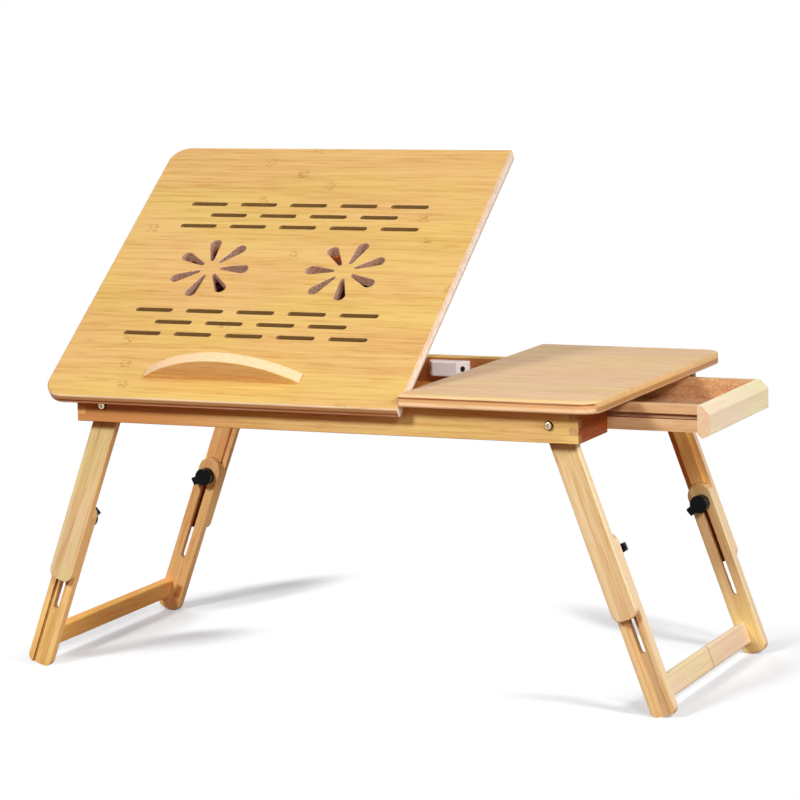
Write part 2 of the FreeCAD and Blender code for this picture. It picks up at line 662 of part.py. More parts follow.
def upper_leg():
    blank = leg_blank(-LEG_HALF, UPPER_END, UPPER_Y0, TONGUE_Y, LEG_HALF * NEAR_ROUND, UPPER_END_R)
    half = CHANNEL_W / 2 - TONGUE_CLEAR
    beside = [box(-LEG_W, -half, -UPPER_Y1, 0, -FOOT_END, LEG_W),
              box(half, LEG_W, -UPPER_Y1, 0, -FOOT_END, LEG_W)]
    leg = blank.cut(beside)
    leg = ease(leg, LEG_EDGE, lambda b: near(b.YMin, b.YMax) and near(b.YMin, -UPPER_Y0))
    return leg.cut([rod(BOLT_R + BOLT_RUN, V(0, -UPPER_Y0, 0), V(0, 1, 0), LEG_W), clamp_bolt(BOLT_RUN)])


def lower_leg():
    blank = leg_blank(LOWER_TOP, FOOT_END, LOWER_Y0, LOWER_Y1, LEG_HALF * NEAR_ROUND, FOOT_R)
    blank = ease(blank, LEG_EDGE, lambda b: near(b.YMin, b.YMax) and near(b.YMin, -LOWER_Y1))
    half = CHANNEL_W / 2
    channel = box(-half, half, -LOWER_Y0, -LOWER_Y0 + CHANNEL_D, -FOOT_END, -LOWER_TOP)
    r = BOLT_R + SLOT_CLEAR
    slot = [rod(r, V(0, -LOWER_Y0, -CLAMP_U), V(0, 1, 0), LOWER_T),
            rod(r, V(0, -LOWER_Y0, -CLAMP_U - TRAVEL), V(0, 1, 0), LOWER_T),
            box(-r, r, -LOWER_Y0, -LOWER_Y1, -CLAMP_U - TRAVEL, -CLAMP_U)]
    floor = box(-TOP_L, TOP_L, -TOP_W, TOP_W, -TOP_L, 0)
    return splayed(blank.cut([channel] + slot)).cut(floor)


def clamp_bolt(clear):
    start = -UPPER_Y1 - CLAMP_BURY
    end = -KNOB_Y + KNOB_H - KNOB_CAP - FACE_GAP
    return rod(BOLT_R + clear, V(0, start, -CLAMP_U), V(0, 1, 0), end - start)


def clamp_washer():
    start = V(0, -CLAMP_WASHER_Y, -CLAMP_U)
    ring = rod(CLAMP_WASHER_R, start, V(0, 1, 0), CLAMP_WASHER_T)
    return ring.cut(rod(BOLT_R + BOLT_RUN, start, V(0, 1, 0), CLAMP_WASHER_T))


def crossbar(inner):
    """Board between the two lower legs of a pair, its inner face at the given offset."""
    bar = box(inner, inner + CROSSBAR_T, -LOWER_Y1, LOWER_Y1, -CROSSBAR_U - CROSSBAR_H, -CROSSBAR_U)
    bar = ease(bar, CROSSBAR_EDGE, lambda b: b.YLength > LOWER_Y1)
    return splayed(bar)


def knob(x, angle):
    """Thumb nut of a front leg, on the clamp bolt at x, with one wing turned to angle."""
    z = PIVOT_Z - CLAMP_U * math.cos(ALPHA)
    body = rod(KNOB_R, V(0, -KNOB_Y, 0), V(0, 1, 0), KNOB_H)
    body = ease(body, KNOB_CAP, lambda b: near(b.YMin, b.YMax) and near(b.YMin, -KNOB_Y + KNOB_H))
    y0 = -KNOB_Y + KNOB_WING_LOW
    wing = box(0, KNOB_WING, y0, y0 + KNOB_WING_H, -KNOB_WING_W / 2, KNOB_WING_W / 2)
    wing = ease(wing, KNOB_WING_EASE, lambda b: near(b.XMin, b.XMax) and near(b.XMin, KNOB_WING))
    bore = rod(BOLT_R + BOLT_RUN, V(0, -KNOB_Y, 0), V(0, 1, 0), KNOB_H - KNOB_CAP)
    shape = body.fuse(wing).cut(bore)
    shape.rotate(V(0, 0, 0), V(0, 1, 0), -angle)
    shape.translate(V(x, 0, z))
    return shape


# ---- tilting panel ----
def stadium(x, y, length, width, z0, height):
    """A round-ended slot along X."""
    r = width / 2
    a = length / 2 - r
    sides = [Part.LineSegment(V(x - a, y - r, z0), V(x + a, y - r, z0)),
             Part.Arc(V(x + a, y - r, z0), V(x + a + r, y, z0), V(x + a, y + r, z0)),
             Part.LineSegment(V(x + a, y + r, z0), V(x - a, y + r, z0)),
             Part.Arc(V(x - a, y + r, z0), V(x - a - r, y, z0), V(x - a, y - r, z0))]
    outline = Part.Wire([s.toShape() for s in sides])
    return Part.Face(outline).extrude(V(0, 0, height))


def petal(z0, height):
    """A teardrop along +X: a small round root and a large round tip joined by tangents."""
    c = PETAL_TIP - PETAL_TIP_R - PETAL_ROOT - PETAL_ROOT_R
    lean = math.asin((PETAL_TIP_R - PETAL_ROOT_R) / c)
    root_x = PETAL_ROOT + PETAL_ROOT_R
    tip_x = PETAL_TIP - PETAL_TIP_R
    corners = []
    for x, r, side in ((root_x, PETAL_ROOT_R, 1), (tip_x, PETAL_TIP_R, 1),
                       (tip_x, PETAL_TIP_R, -1), (root_x, PETAL_ROOT_R, -1)):
        corners.append(V(x - r * math.sin(lean), side * r * math.cos(lean), z0))
    body = prism(corners, V(0, 0, height))
    ends = [rod(PETAL_ROOT_R, V(root_x, 0, z0), V(0, 0, 1), height),
            rod(PETAL_TIP_R, V(tip_x, 0, z0), V(0, 0, 1), height)]
    return body.fuse(ends).removeSplitter()


def vents():
    z0 = PANEL_Z0 - 1
    height = TOP_T + 2
    cuts = []
    for offset, count in zip(SLOT_ROWS, SLOT_COUNTS):
        for side in (-1, 1):
            for k in range(count):
                x = VENT_X + (k - (count - 1) / 2) * SLOT_PITCH
                cuts.append(stadium(x, VENT_CY + side * offset, SLOT_L, SLOT_W, z0, height))
    one = petal(z0, height)
    for x, phase in zip(FAN_X, PETAL_PHASE):
        for k in range(PETALS):
            leaf = one.copy()
            leaf.rotate(V(0, 0, 0), V(0, 0, 1), phase + k * 360 / PETALS)
            leaf.translate(V(x, VENT_CY, 0))
            cuts.append(leaf)
    return cuts


def panel_mortises():
    """Room under the panel for the hinge leaves and their knuckles."""
    cuts = []
    for x in HINGE_X:
        x0 = x - HINGE_L / 2 - HOLE_CLEAR
        x1 = x + HINGE_L / 2 + HOLE_CLEAR
        cuts.append(box(x0, x1, HINGE_Y, HINGE_Y + HINGE_PANEL_LEAF + HOLE_CLEAR,
                        PANEL_Z0 - 1, PANEL_Z0 + HINGE_LEAF_T))
        cuts.append(rod(HINGE_KNUCKLE_R + HINGE_RELIEF, V(x0, HINGE_Y, HINGE_Z), V(1, 0, 0), x1 - x0))
    return cuts


def vented_slab():
    slab = top_slab(-TOP_L / 2, PANEL_X1, PANEL_Z0, -TOP_L / 2).cut(vents())
    z1 = PANEL_Z0 + TOP_T
    x0 = VENT_X - SLOT_PITCH * max(SLOT_COUNTS) / 2
    x1 = VENT_X + SLOT_PITCH * max(SLOT_COUNTS) / 2
    reach = SLOT_ROWS[0] + SLOT_W
    return ease(slab, VENT_EDGE, lambda b: near(b.ZMin, z1) and near(b.ZMax, z1) and b.XMin > x0
                and b.XMax < x1 and b.YMin > VENT_CY - reach and b.YMax < VENT_CY + reach)


def tilting_panel():
    slab = vented_slab()
    cuts = panel_mortises()
    cuts += [hinge_panel_screw(x, k, HOLE_CLEAR / 2) for x in HINGE_X for k in (-1, 0, 1)]
    cuts += [ledge_screw(side, HOLE_CLEAR / 2) for side in (-1, 1)]
    cuts += [fan_screw(x, i, j, HOLE_CLEAR / 2) for x in FAN_X for i in (-1, 1) for j in (-1, 1)]
    cuts += [block_screw(j, HOLE_CLEAR / 2) for j in (-1, 1)]
    return tilted(slab.cut(cuts))


def ledge_screw(side, clear):
    place = V(VENT_X + side * LEDGE_SCREW_X, LEDGE_Y0 + LEDGE_T / 2, PANEL_Z0)
    return screw(LEDGE_SCREW_R + clear, LEDGE_SCREW_HEAD_R + clear, LEDGE_SCREW_L, place, V(0, 0, 1))


def laptop_ledge():
    """Arched board standing across the panel's front, from a low square end to a crown."""
    z0 = PANEL_Z0 + TOP_T
    half = LEDGE_L / 2
    y = LEDGE_Y0
    left, right = VENT_X - half, VENT_X + half
    arc = Part.Arc(V(left, y, z0 + LEDGE_END_H), V(VENT_X, y, z0 + LEDGE_H), V(right, y, z0 + LEDGE_END_H))
    lines = [Part.LineSegment(V(right, y, z0 + LEDGE_END_H), V(right, y, z0)),
             Part.LineSegment(V(right, y, z0), V(left, y, z0)),
             Part.LineSegment(V(left, y, z0), V(left, y, z0 + LEDGE_END_H))]
    outline = Part.Wire([arc.toShape()] + [s.toShape() for s in lines])
    board = Part.Face(outline).extrude(V(0, LEDGE_T, 0))
    board = ease(board, LEDGE_EASE, lambda b: near(b.YMin, b.YMax) and b.ZMax > z0 + LEDGE_END_H + 1)
    return tilted(board.cut([ledge_screw(side, HOLE_CLEAR / 2) for side in (-1, 1)]))


def ledge_screws():
    return tilted(Part.makeCompound([ledge_screw(side, 0) for side in (-1, 1)]))


# ---- fans ----
def fan_screw(x, i, j, clear):
    place = V(x + i * FAN_HOLES / 2, VENT_CY + j * FAN_HOLES / 2, FAN_Z0 - FAN_SCREW_R)
    return screw(FAN_SCREW_R + clear, FAN_SCREW_HEAD_R, FAN_T + FAN_SCREW_BITE, place, V(0, 0, 1))


def fan_frame(x):
    half = FAN_SIZE / 2
    body = box(x - half, x + half, VENT_CY - half, VENT_CY + half, FAN_Z0, PANEL_Z0)
    body = ease(body, FAN_R, lambda b: near(b.XMin, b.XMax) and near(b.YMin, b.YMax))
    centre = V(x, VENT_CY, FAN_Z0)
    up = V(0, 0, 1)
    body = body.cut(rod(FAN_BORE_R, centre, up, FAN_T))
    struts = []
    for k in range(FAN_STRUTS):
        bar = box(FAN_STATOR_R - 1, FAN_BORE_R + 1, -FAN_STRUT_W / 2, FAN_STRUT_W / 2, 0, FAN_BASE)
        bar.rotate(V(0, 0, 0), up, FAN_STRUT_TURN + k * 360 / FAN_STRUTS)
        bar.translate(centre)
        struts.append(bar)
    stator = rod(FAN_STATOR_R, centre, up, FAN_BASE + FAN_STATOR_H)
    body = body.fuse([stator] + struts)
    holes = [rod(FAN_HOLE_R, V(x + i * FAN_HOLES / 2, VENT_CY + j * FAN_HOLES / 2, FAN_Z0), up, FAN_T)
             for i in (-1, 1) for j in (-1, 1)]
    holes += [fan_screw(x, i, j, HOLE_CLEAR) for i in (-1, 1) for j in (-1, 1)]
    return tilted(body.cut(holes + [rod(SHAFT_R + BOLT_RUN, centre, up, FAN_T)]))


def fan_impeller(x):
    centre = V(x, VENT_CY, FAN_Z0 + IMPELLER_LIFT)
    up = V(0, 0, 1)
    hub = rod(HUB_R, centre, up, IMPELLER_H)
    hub = ease(hub, HUB_WALL / 2, lambda b: near(b.ZMin, b.ZMax) and near(b.ZMin, centre.z + IMPELLER_H))
    hub = hub.cut(rod(HUB_R - HUB_WALL, centre, up, IMPELLER_H - HUB_FLOOR))
    blades = []
    for k in range(BLADES):
        blade = box(HUB_R - HUB_WALL / 2, BLADE_R + 2, -BLADE_CHORD / 2, BLADE_CHORD / 2,
                    -BLADE_T / 2, BLADE_T / 2)
        blade.rotate(V(0, 0, 0), V(1, 0, 0), BLADE_PITCH)
        blade.rotate(V(0, 0, 0), up, k * 360 / BLADES)
        blade.translate(centre + up * (IMPELLER_H / 2))
        blades.append(blade)
    sweep = rod(BLADE_R, centre + up * BLADE_TRIM, up, IMPELLER_H - 2 * BLADE_TRIM)
    blades = [b.common(sweep) for b in blades]
    shaft_l = IMPELLER_LIFT + IMPELLER_H - HUB_FLOOR / 2 - SHAFT_END
    shaft = rod(SHAFT_R, V(x, VENT_CY, FAN_Z0 + SHAFT_END), up, shaft_l)
    return tilted(hub.fuse(blades + [shaft]))


def fan_screws():
    return tilted(Part.makeCompound([fan_screw(x, i, j, 0) for x in FAN_X for i in (-1, 1) for j in (-1, 1)]))


# ---- tilt prop ----
def arm_places():
    """Left faces of the two arms."""
    return (VENT_X - PROP_GAP / 2 - PROP_ARM_T, VENT_X + PROP_GAP / 2)


def block_screw(j, clear):
    place = V(VENT_X, PROP_Y + j * BLOCK_SCREW_Y, PROP_Z - BLOCK_BELOW)
    length = PANEL_Z0 + BLOCK_SCREW_BITE - place.z
    return screw(BLOCK_SCREW_R + clear, BLOCK_SCREW_HEAD_R + clear, length, place, V(0, 0, 1))


def prop_pin_solid(clear):
    x0 = arm_places()[0]
    return rod(PROP_PIN_R + clear, V(x0, PROP_Y, PROP_Z), V(1, 0, 0), PROP_GAP + 2 * PROP_ARM_T)


def prop_block():
    """Block under the panel, between the arms, that carries the prop's pin."""
    half = PROP_GAP / 2 - BLOCK_CLEAR
    z0 = PROP_Z - BLOCK_BELOW
    block = box(VENT_X - half, VENT_X + half, PROP_Y - BLOCK_W / 2, PROP_Y + BLOCK_W / 2, z0, PANEL_Z0)
    block = ease(block, BLOCK_EASE, lambda b: near(b.YMin, b.YMax) and near(b.ZMin, b.ZMax)
                 and near(b.ZMin, z0))
    screws = [block_screw(j, HOLE_CLEAR / 2) for j in (-1, 1)]
    return tilted(block.cut([prop_pin_solid(HOLE_CLEAR / 2)] + screws))


def prop_pin():
    return tilted(prop_pin_solid(0))


def prop_block_screws():
    return tilted(Part.makeCompound([block_screw(j, 0) for j in (-1, 1)]))


def prop_bar_solid(clear):
    x0 = arm_places()[0] - PROP_BAR_END
    length = PROP_GAP + 2 * (PROP_ARM_T + PROP_BAR_END)
    return rod(PROP_BAR_R + clear, V(x0, PROP_BAR_Y, PROP_Z), V(1, 0, 0), length)


def prop_arm(x0):
    half = PROP_ARM_W / 2
    arm = box(x0, x0 + PROP_ARM_T, PROP_Y - half, PROP_BAR_Y + half, PROP_Z - half, PROP_Z + half)
    arm = ease(arm, half * NEAR_ROUND, lambda b: near(b.YMin, b.YMax) and near(b.ZMin, b.ZMax))
    return propped(arm.cut([prop_pin_solid(BOLT_RUN), prop_bar_solid(HOLE_CLEAR / 2)]))


def prop_bar():
    return propped(prop_bar_solid(0))


def prop_stretcher():
    y0 = PROP_Y + PROP_STRETCHER_Y
    half = PROP_STRETCHER_T / 2
    return propped(box(VENT_X - PROP_GAP / 2, VENT_X + PROP_GAP / 2, y0, y0 + PROP_STRETCHER_W,
                       PROP_Z - half, PROP_Z + half))


# ---- drawer ----
def drawer_front():
    """Thick board with a broad bevel along its upper edge and a finger pull under it."""
    x0, x1 = DRAWER_FRONT_X0, DRAWER_FRONT_X1
    z0 = RAIL_Z0 - DRAWER_LIP
    z1 = RAIL_Z1 - DRAWER_FRONT_DOWN
    section = [(x0, z0 + DRAWER_PULL), (x0 + DRAWER_PULL, z0), (x1 - DRAWER_CHAMFER_X, z0),
               (x1, z0 + DRAWER_CHAMFER_Z), (x1, z1 - DRAWER_BEVEL), (x1 - DRAWER_BEVEL, z1), (x0, z1)]
    board = prism([V(x, -DRAWER_Y, z) for x, z in section], V(0, 2 * DRAWER_Y, 0))
    board = ease(board, RAIL_EASE, lambda b: b.YLength > DRAWER_Y and b.XMin > x0 + 1)
    return board.cut(drawer_floor_solid())


def drawer_front_side():
    side = box(DRAWER_BACK_X, DRAWER_FRONT_X0, -DRAWER_Y, -DRAWER_IN_Y, DRAWER_Z0, DRAWER_Z0 + DRAWER_SIDE_H)
    groove = box(DRAWER_BACK_X, DRAWER_FRONT_X0, -DRAWER_Y, -DRAWER_Y + GROOVE_D,
                 RUNNER_Z0 - RUNNER_GAP, RUNNER_Z0 + RUNNER_H + RUNNER_GAP)
    return side.cut([groove, drawer_floor_solid()])


def drawer_rear_side():
    return mirror_y(drawer_front_side())


def drawer_back():
    back = box(DRAWER_BACK_X, DRAWER_BACK_X + DRAWER_SIDE_T, -DRAWER_IN_Y, DRAWER_IN_Y,
               DRAWER_Z0, DRAWER_Z0 + DRAWER_SIDE_H)
    return back.cut(drawer_floor_solid())


def drawer_floor_solid():
    let_in = DRAWER_FLOOR_LET_IN
    return box(DRAWER_BACK_X + DRAWER_SIDE_T - let_in, DRAWER_FRONT_X0 + let_in,
               -DRAWER_IN_Y - let_in, DRAWER_IN_Y + let_in, FLOOR_Z0, FLOOR_Z0 + DRAWER_FLOOR_T)


# ---- write every piece ----
def build():
    os.makedirs("parts", exist_ok=True)
    export("front_rail", front_rail())
    export("rear_rail", rear_rail())
    export("left_end_rail", left_end_rail())
    export("right_end_front_board", right_end_front_board())
    export("right_end_rear_board", right_end_rear_board())
    export("middle_rail", middle_rail())
    export("front_drawer_guide", front_drawer_guide())
    export("rear_drawer_guide", rear_drawer_guide())
    export("drawer_runners", drawer_runners())
    export("fixed_side_board", fixed_side_board())
    export("side_board_dowels", dowels(0))
    export("tilt_rail", tilt_rail())
    export("fan_hub_case", fan_hub_case())
    export("fan_hub_jacks", fan_hub_jacks())
    export("hinge_frame_leaves", hinge_frame_leaves())
    export("hinge_pins", hinge_pins())
    export("hinge_frame_screws", hinge_frame_screws())
    export("leg_pivot_bolts", all_corners(pivot_bolt()))
    export("leg_pivot_nuts", all_corners(pivot_nut()))
    export("leg_pivot_spacers", all_corners(pivot_spacer()))

    export("tilting_panel", tilting_panel())
    export("laptop_ledge", laptop_ledge())
    export("ledge_screws", ledge_screws())
    export("hinge_panel_leaves", hinge_panel_leaves())
    export("hinge_panel_screws", hinge_panel_screws())
    export("left_fan_frame", fan_frame(FAN_X[0]))
    export("right_fan_frame", fan_frame(FAN_X[1]))
    export("left_fan_impeller", fan_impeller(FAN_X[0]))
    export("right_fan_impeller", fan_impeller(FAN_X[1]))
    export("fan_screws", fan_screws())
    export("prop_block", prop_block())
    export("prop_pin", prop_pin())
    export("prop_block_screws", prop_block_screws())

    export("prop_left_arm", prop_arm(arm_places()[0]))
    export("prop_right_arm", prop_arm(arm_places()[1]))
    export("prop_stretcher", prop_stretcher())
    export("prop_bar", prop_bar())

    export("drawer_front", drawer_front())
    export("drawer_front_side", drawer_front_side())
    export("drawer_rear_side", drawer_rear_side())
    export("drawer_back", drawer_back())
    export("drawer_floor", drawer_floor_solid())

    upper = splayed(upper_leg())
    lower = lower_leg()
    bolt = splayed(clamp_bolt(0))
    washer = splayed(clamp_washer())
    knob_x = PIVOT_X + CLAMP_U * math.sin(ALPHA)
    export("front_right_upper_leg", upper)
    export("rear_right_upper_leg", mirror_y(upper))
    export("front_left_upper_leg", mirror_x(upper))
    export("rear_left_upper_leg", mirror_x(mirror_y(upper)))
    export("front_right_lower_leg", lower)
    export("rear_right_lower_leg", mirror_y(lower))
    export("front_left_lower_leg", mirror_x(lower))
    export("rear_left_lower_leg", mirror_x(mirror_y(lower)))
    export("right_crossbar", crossbar(CROSSBAR_RIGHT))
    export("left_crossbar", mirror_x(crossbar(CROSSBAR_LEFT)))
    export("right_clamp_bolts", both(bolt, mirror_y))
    export("left_clamp_bolts", mirror_x(both(bolt, mirror_y)))
    export("right_clamp_washers", both(washer, mirror_y))
    export("left_clamp_washers", mirror_x(both(washer, mirror_y)))
    for corner, angle in KNOB_ANGLES.items():
        shape = knob(knob_x if corner.endswith("right") else 2 * FRAME_CX - knob_x, angle)
        export(corner + "_knob", mirror_y(shape) if corner.startswith("rear") else shape)


build()
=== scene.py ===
import json
import math

import bpy
from mathutils import Matrix, Vector


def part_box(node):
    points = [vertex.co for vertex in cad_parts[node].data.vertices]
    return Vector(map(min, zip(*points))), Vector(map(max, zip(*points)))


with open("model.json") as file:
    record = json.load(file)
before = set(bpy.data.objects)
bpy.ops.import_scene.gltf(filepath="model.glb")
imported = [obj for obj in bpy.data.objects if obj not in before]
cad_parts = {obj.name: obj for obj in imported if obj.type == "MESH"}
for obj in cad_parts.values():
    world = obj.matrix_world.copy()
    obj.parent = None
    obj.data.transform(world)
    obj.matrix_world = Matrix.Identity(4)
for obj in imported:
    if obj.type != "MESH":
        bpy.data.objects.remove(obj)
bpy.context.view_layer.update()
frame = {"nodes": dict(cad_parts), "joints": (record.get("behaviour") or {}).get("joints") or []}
JOINTS = {joint["name"]: joint for joint in frame["joints"]}


# ---- places and directions, from the frame ----
def pivot(joint):
    """A place on a hinge's axis, with 0 for the coordinate along the axis."""
    place = Vector(JOINTS[joint]["pos_m"])
    return place - place.project(Vector(JOINTS[joint]["axis"]))


def foot(node):
    """A place at the height of a node's underside."""
    return Vector((0, 0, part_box(node)[0].z))


X = Vector((1, 0, 0))
Y = Vector((0, 1, 0))
Z = Vector((0, 0, 1))
ORIGIN = Vector((0, 0, 0))
SIDES = ("left", "right")
TILT = -math.radians(JOINTS["panel_tilt"]["range_deg"][0])      # of the panel, from flat
PANEL_BACK = Vector((0, math.cos(TILT), math.sin(TILT)))
PANEL_UP = X.cross(PANEL_BACK)
PROP_ALONG = Vector((0, math.cos(TILT), -math.sin(TILT)))
LEG_DOWN = {side: -Vector(JOINTS[side + "_leg_slide"]["axis"]) for side in SIDES}
LEG_OUT = {"left": Y.cross(LEG_DOWN["left"]), "right": LEG_DOWN["right"].cross(Y)}
LEG_PIVOT = {side: pivot(side + "_leg_fold") for side in SIDES}
HINGE = pivot("panel_tilt")
MIDDLE_Y = JOINTS["left_leg_fold"]["pos_m"][1]      # halfway between the front and rear legs
RAIL_FOOT = foot("front_rail")
DRAWER_FOOT = foot("drawer_front")
BOARD_FOOT = foot("fixed_side_board")
BOARD_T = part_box("fixed_side_board")[1].z - BOARD_FOOT.z

# ---- painted places, in each board's grain space ----
SOFT = 0.0003           # a painted place's soft border
PAST = 0.0006           # how far a painted place reaches past a leg's face
VENT_MARGIN = 0.012     # the panel's vents lie at least this far inside its edges
PANEL_REACH = 0.3326    # from the hinge to the panel's far edge
PETAL_REACH = (0.112, 0.204)        # the part of that with the two flowers of petals
RAIL_SHADED_END = (-0.30, -0.22)      # the darkest part of the front rail's painted shade under the panel, and how far it fades
RAIL_FADE = 0.22
REAR_RAIL_FACE = (-0.1504, -0.1490)     # the rear rail's inner face, and the heights on it that get painted shade
REAR_RAIL_SHADED = (-0.01, 0.0268)
LEG_FACES = [corner.y - MIDDLE_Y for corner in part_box("rear_left_lower_leg")]    # depths from MIDDLE_Y
CHANNEL_FLOOR = LEG_FACES[1] - 0.0034
LEG_CHANNEL = (CHANNEL_FLOOR, LEG_FACES[1] + PAST)
LEG_SLOT = (LEG_FACES[0] - PAST, CHANNEL_FLOOR)
LEG_TONGUE = (LEG_FACES[1] - 0.0032, LEG_FACES[1] - 0.0010)
LEG_GROOVE = 0.0080     # wider than half a leg's channel or slot
TONGUE_SHADE = 0.004     # half the width of the painted shade on the tongue, behind the slot
LEG_LAP = (0.1056, 0.1843)      # where upper and lower leg overlap, from the pivot
LEG_W = 0.024
LEG_SIDE = 0.0114       # where a leg's edge begins, from its middle line; that edge gets painted highlight on the right legs and painted shade on the left
FOOT_SHADOW = ((0.249, -0.0080, -0.140), (0.258, -0.0055, 0.140))    # painted shadow beside the left crossbar's end, near the rear left leg's foot
FOOT_SHADOW_FADE = 0.0045
BAR_NODE = (0.0170, 0.0180)     # a node line across the right crossbar
BAR_NODE_FADE = 0.0010
DRAWER_INSIDE = (-0.0771, 0.0762)       # from one side's inner face to the other's, where darker streaks and painted shade cover the drawer's inside
DRAWER_GROOVE_DEPTHS = (0.0800, 0.0843)     # the runner's groove, which gets painted shade, from the middle and from DRAWER_FOOT
DRAWER_GROOVE_HEIGHTS = (0.0162, 0.0210)

# ---- the glued strips: their widths, and the legs' seeds, which shift the grain from leg to leg ----
TOP_STRIP = 0.0195
LEDGE_STRIP = 0.012
RAIL_STRIP = 0.0098
DOWEL_STRIP = 0.006
PROP_STRIP = 0.008
DRAWER_FRONT_STRIP = 0.031
DRAWER_STRIP = 0.0125
DRAWER_FLOOR_STRIP = 0.02
LEG_STRIP = 0.0068
BAR_STRIP = 0.0103
LEG_SEED = 31.37
LEG_SEED_STEP = 1.37

# ---- sizes of the grain, in metres, and of its noise: cells per metre along, across and through ----
NODE_RAGGED = 0.010     # how far a node mark strays along the grain
NODE_INNER = 0.0030     # half of a node mark's full and faded length
NODE_OUTER = 0.0080
GLUE_LINE = 0.00045     # half the width of the line between two strips
STRIP_WANDER = 0.0012   # how far that line strays sideways
BUMP_DEPTH = 0.0002
FINE_BUMP_DEPTH = 0.0001
WANDER_CELLS = (3.0, 12.0, 12.0)
CLOUD_CELLS = (4.0, 24.0, 24.0)
HUE_CELLS = (7.0, 20.0, 20.0)
STREAK_CELLS = (5.0, 170.0, 170.0)
DASH_CELLS = (24.0, 440.0, 440.0)
HAIR_CELLS = (30.0, 1300.0, 1300.0)
RAGGED_CELLS = (90.0, 500.0, 500.0)
SPECK_CELLS = (240.0, 460.0, 460.0)
END_CELLS = (40.0, 260.0, 1500.0)
MOTTLE_CELLS = (500.0, 500.0, 500.0)
BRUSHED_CELLS = (1120.0, 1120.0, 140.0)
WEAR_CELLS = (220.0, 220.0, 220.0)
STAIN_CELLS = (90.0, 90.0, 90.0)

# ---- colours, linear: boards ----
HONEY = (0.68, 0.47, 0.165)
HONEY_DEEP = (0.54, 0.31, 0.085)
SAND = (0.73, 0.53, 0.275)
SAND_DEEP = (0.56, 0.34, 0.15)
STRAW = (0.92, 0.66, 0.26)
STRAW_DEEP = (0.70, 0.39, 0.12)
CREAM = (0.95, 0.84, 0.58)
CREAM_DEEP = (0.84, 0.64, 0.38)
RUSSET = (0.31, 0.075, 0.012)
RUSSET_DEEP = (0.19, 0.036, 0.006)
UMBER = (0.56, 0.21, 0.065)
UMBER_DEEP = (0.34, 0.10, 0.028)
# painted shade: the dark red-brown of the legs' channels, the drawer's grooves and the tongue behind a slot
PAINTED_SHADE = (0.22, 0.036, 0.010)
PAINTED_SHADE_DEEP = (0.12, 0.016, 0.004)
LEDGE_ROSE = (0.92, 0.70, 0.46)
LEDGE_TAN = (0.80, 0.54, 0.31)
RAIL_GOLD = (0.82, 0.58, 0.23)
RAIL_DEEP = (0.62, 0.35, 0.11)
RAIL_TAN = (0.58, 0.26, 0.08)
# the walls of the panel's vents: wood tones darkened with painted shade
SLOT_OLIVE = (0.40, 0.25, 0.085)
SLOT_OLIVE_DEEP = (0.27, 0.15, 0.045)
WALL_ROSE = (0.74, 0.52, 0.40)
WALL_BROWN = (0.34, 0.17, 0.09)
VENT_WALLS = (((VENT_MARGIN, PANEL_REACH - VENT_MARGIN), (SLOT_OLIVE, SLOT_OLIVE_DEEP)),
              (PETAL_REACH, (WALL_ROSE, WALL_BROWN)))

# ---- drawer ----
DRAWER_CREAM = (0.86, 0.81, 0.58)
DRAWER_BEIGE = (0.76, 0.62, 0.38)
DRAWER_GOLD = (0.80, 0.50, 0.24)
DRAWER_TAN = (0.68, 0.44, 0.26)
DRAWER_DEEP = (0.50, 0.26, 0.12)
DRAWER_ENDS = ((0.76, 0.55, 0.36), (0.68, 0.46, 0.28))

# ---- legs and crossbars ----
WHEAT = (0.79, 0.65, 0.35)
WHEAT_DEEP = (0.62, 0.40, 0.17)
BIRCH = (0.88, 0.75, 0.50)
BIRCH_DEEP = (0.80, 0.60, 0.36)
LEG_TAN = (0.70, 0.42, 0.15)
AMBER = (0.96, 0.68, 0.29)
AMBER_DEEP = (0.78, 0.44, 0.14)
BRONZE = (0.98, 0.62, 0.24)
BRONZE_DEEP = (0.76, 0.34, 0.09)
TEAK = (0.87, 0.66, 0.32)
TEAK_DEEP = (0.70, 0.44, 0.17)
COPPER = (1.0, 0.60, 0.18)
COPPER_DEEP = (0.96, 0.36, 0.070)
SLOT_TAN = (0.90, 0.62, 0.30)
SLOT_BROWN = (0.62, 0.38, 0.14)
LEG_TONES = {"front_left_upper": (WHEAT, WHEAT_DEEP), "front_left_lower": (AMBER, AMBER_DEEP),
             "rear_left_upper": (AMBER, BRONZE_DEEP), "rear_left_lower": (AMBER, AMBER_DEEP),
             "front_right_upper": (WHEAT, WHEAT_DEEP), "front_right_lower": (WHEAT, LEG_TAN),
             "rear_right_upper": (BRONZE, BRONZE_DEEP), "rear_right_lower": (TEAK, TEAK_DEEP)}
# painted shade on the walls of each lower leg's channel
CHANNEL_SHADE_TONES = {"front_left_lower": (RUSSET, PAINTED_SHADE), "front_right_lower": (LEG_TAN, SLOT_BROWN),
                 "rear_left_lower": (PAINTED_SHADE, PAINTED_SHADE_DEEP), "rear_right_lower": (PAINTED_SHADE, PAINTED_SHADE_DEEP)}

# ---- plies and marks ----
PINK_PLY = (0.98, 0.58, 0.36)
# a painted highlight along a board's upper arris
ARRIS_HIGHLIGHT = (0.98, 0.80, 0.54)
BURNT_PLY = (0.26, 0.075, 0.018)
TAN_PLY = (0.72, 0.42, 0.18)
PALE_PLY = (0.88, 0.63, 0.37)
BROWN_PLY = (0.45, 0.22, 0.08)
GOLD_PLY = (0.84, 0.56, 0.24)
GREY_PLY = (0.58, 0.55, 0.50)
WHITE_PLY = (0.98, 0.92, 0.83)
ROSE_PLY = (0.98, 0.80, 0.64)
LEAF_TINT = (1.0, 1.03, 0.92)
ROSE_TINT = (1.01, 0.97, 1.03)
NODE_BROWN = (0.40, 0.20, 0.05)
GLUE_BROWN = (0.34, 0.15, 0.045)
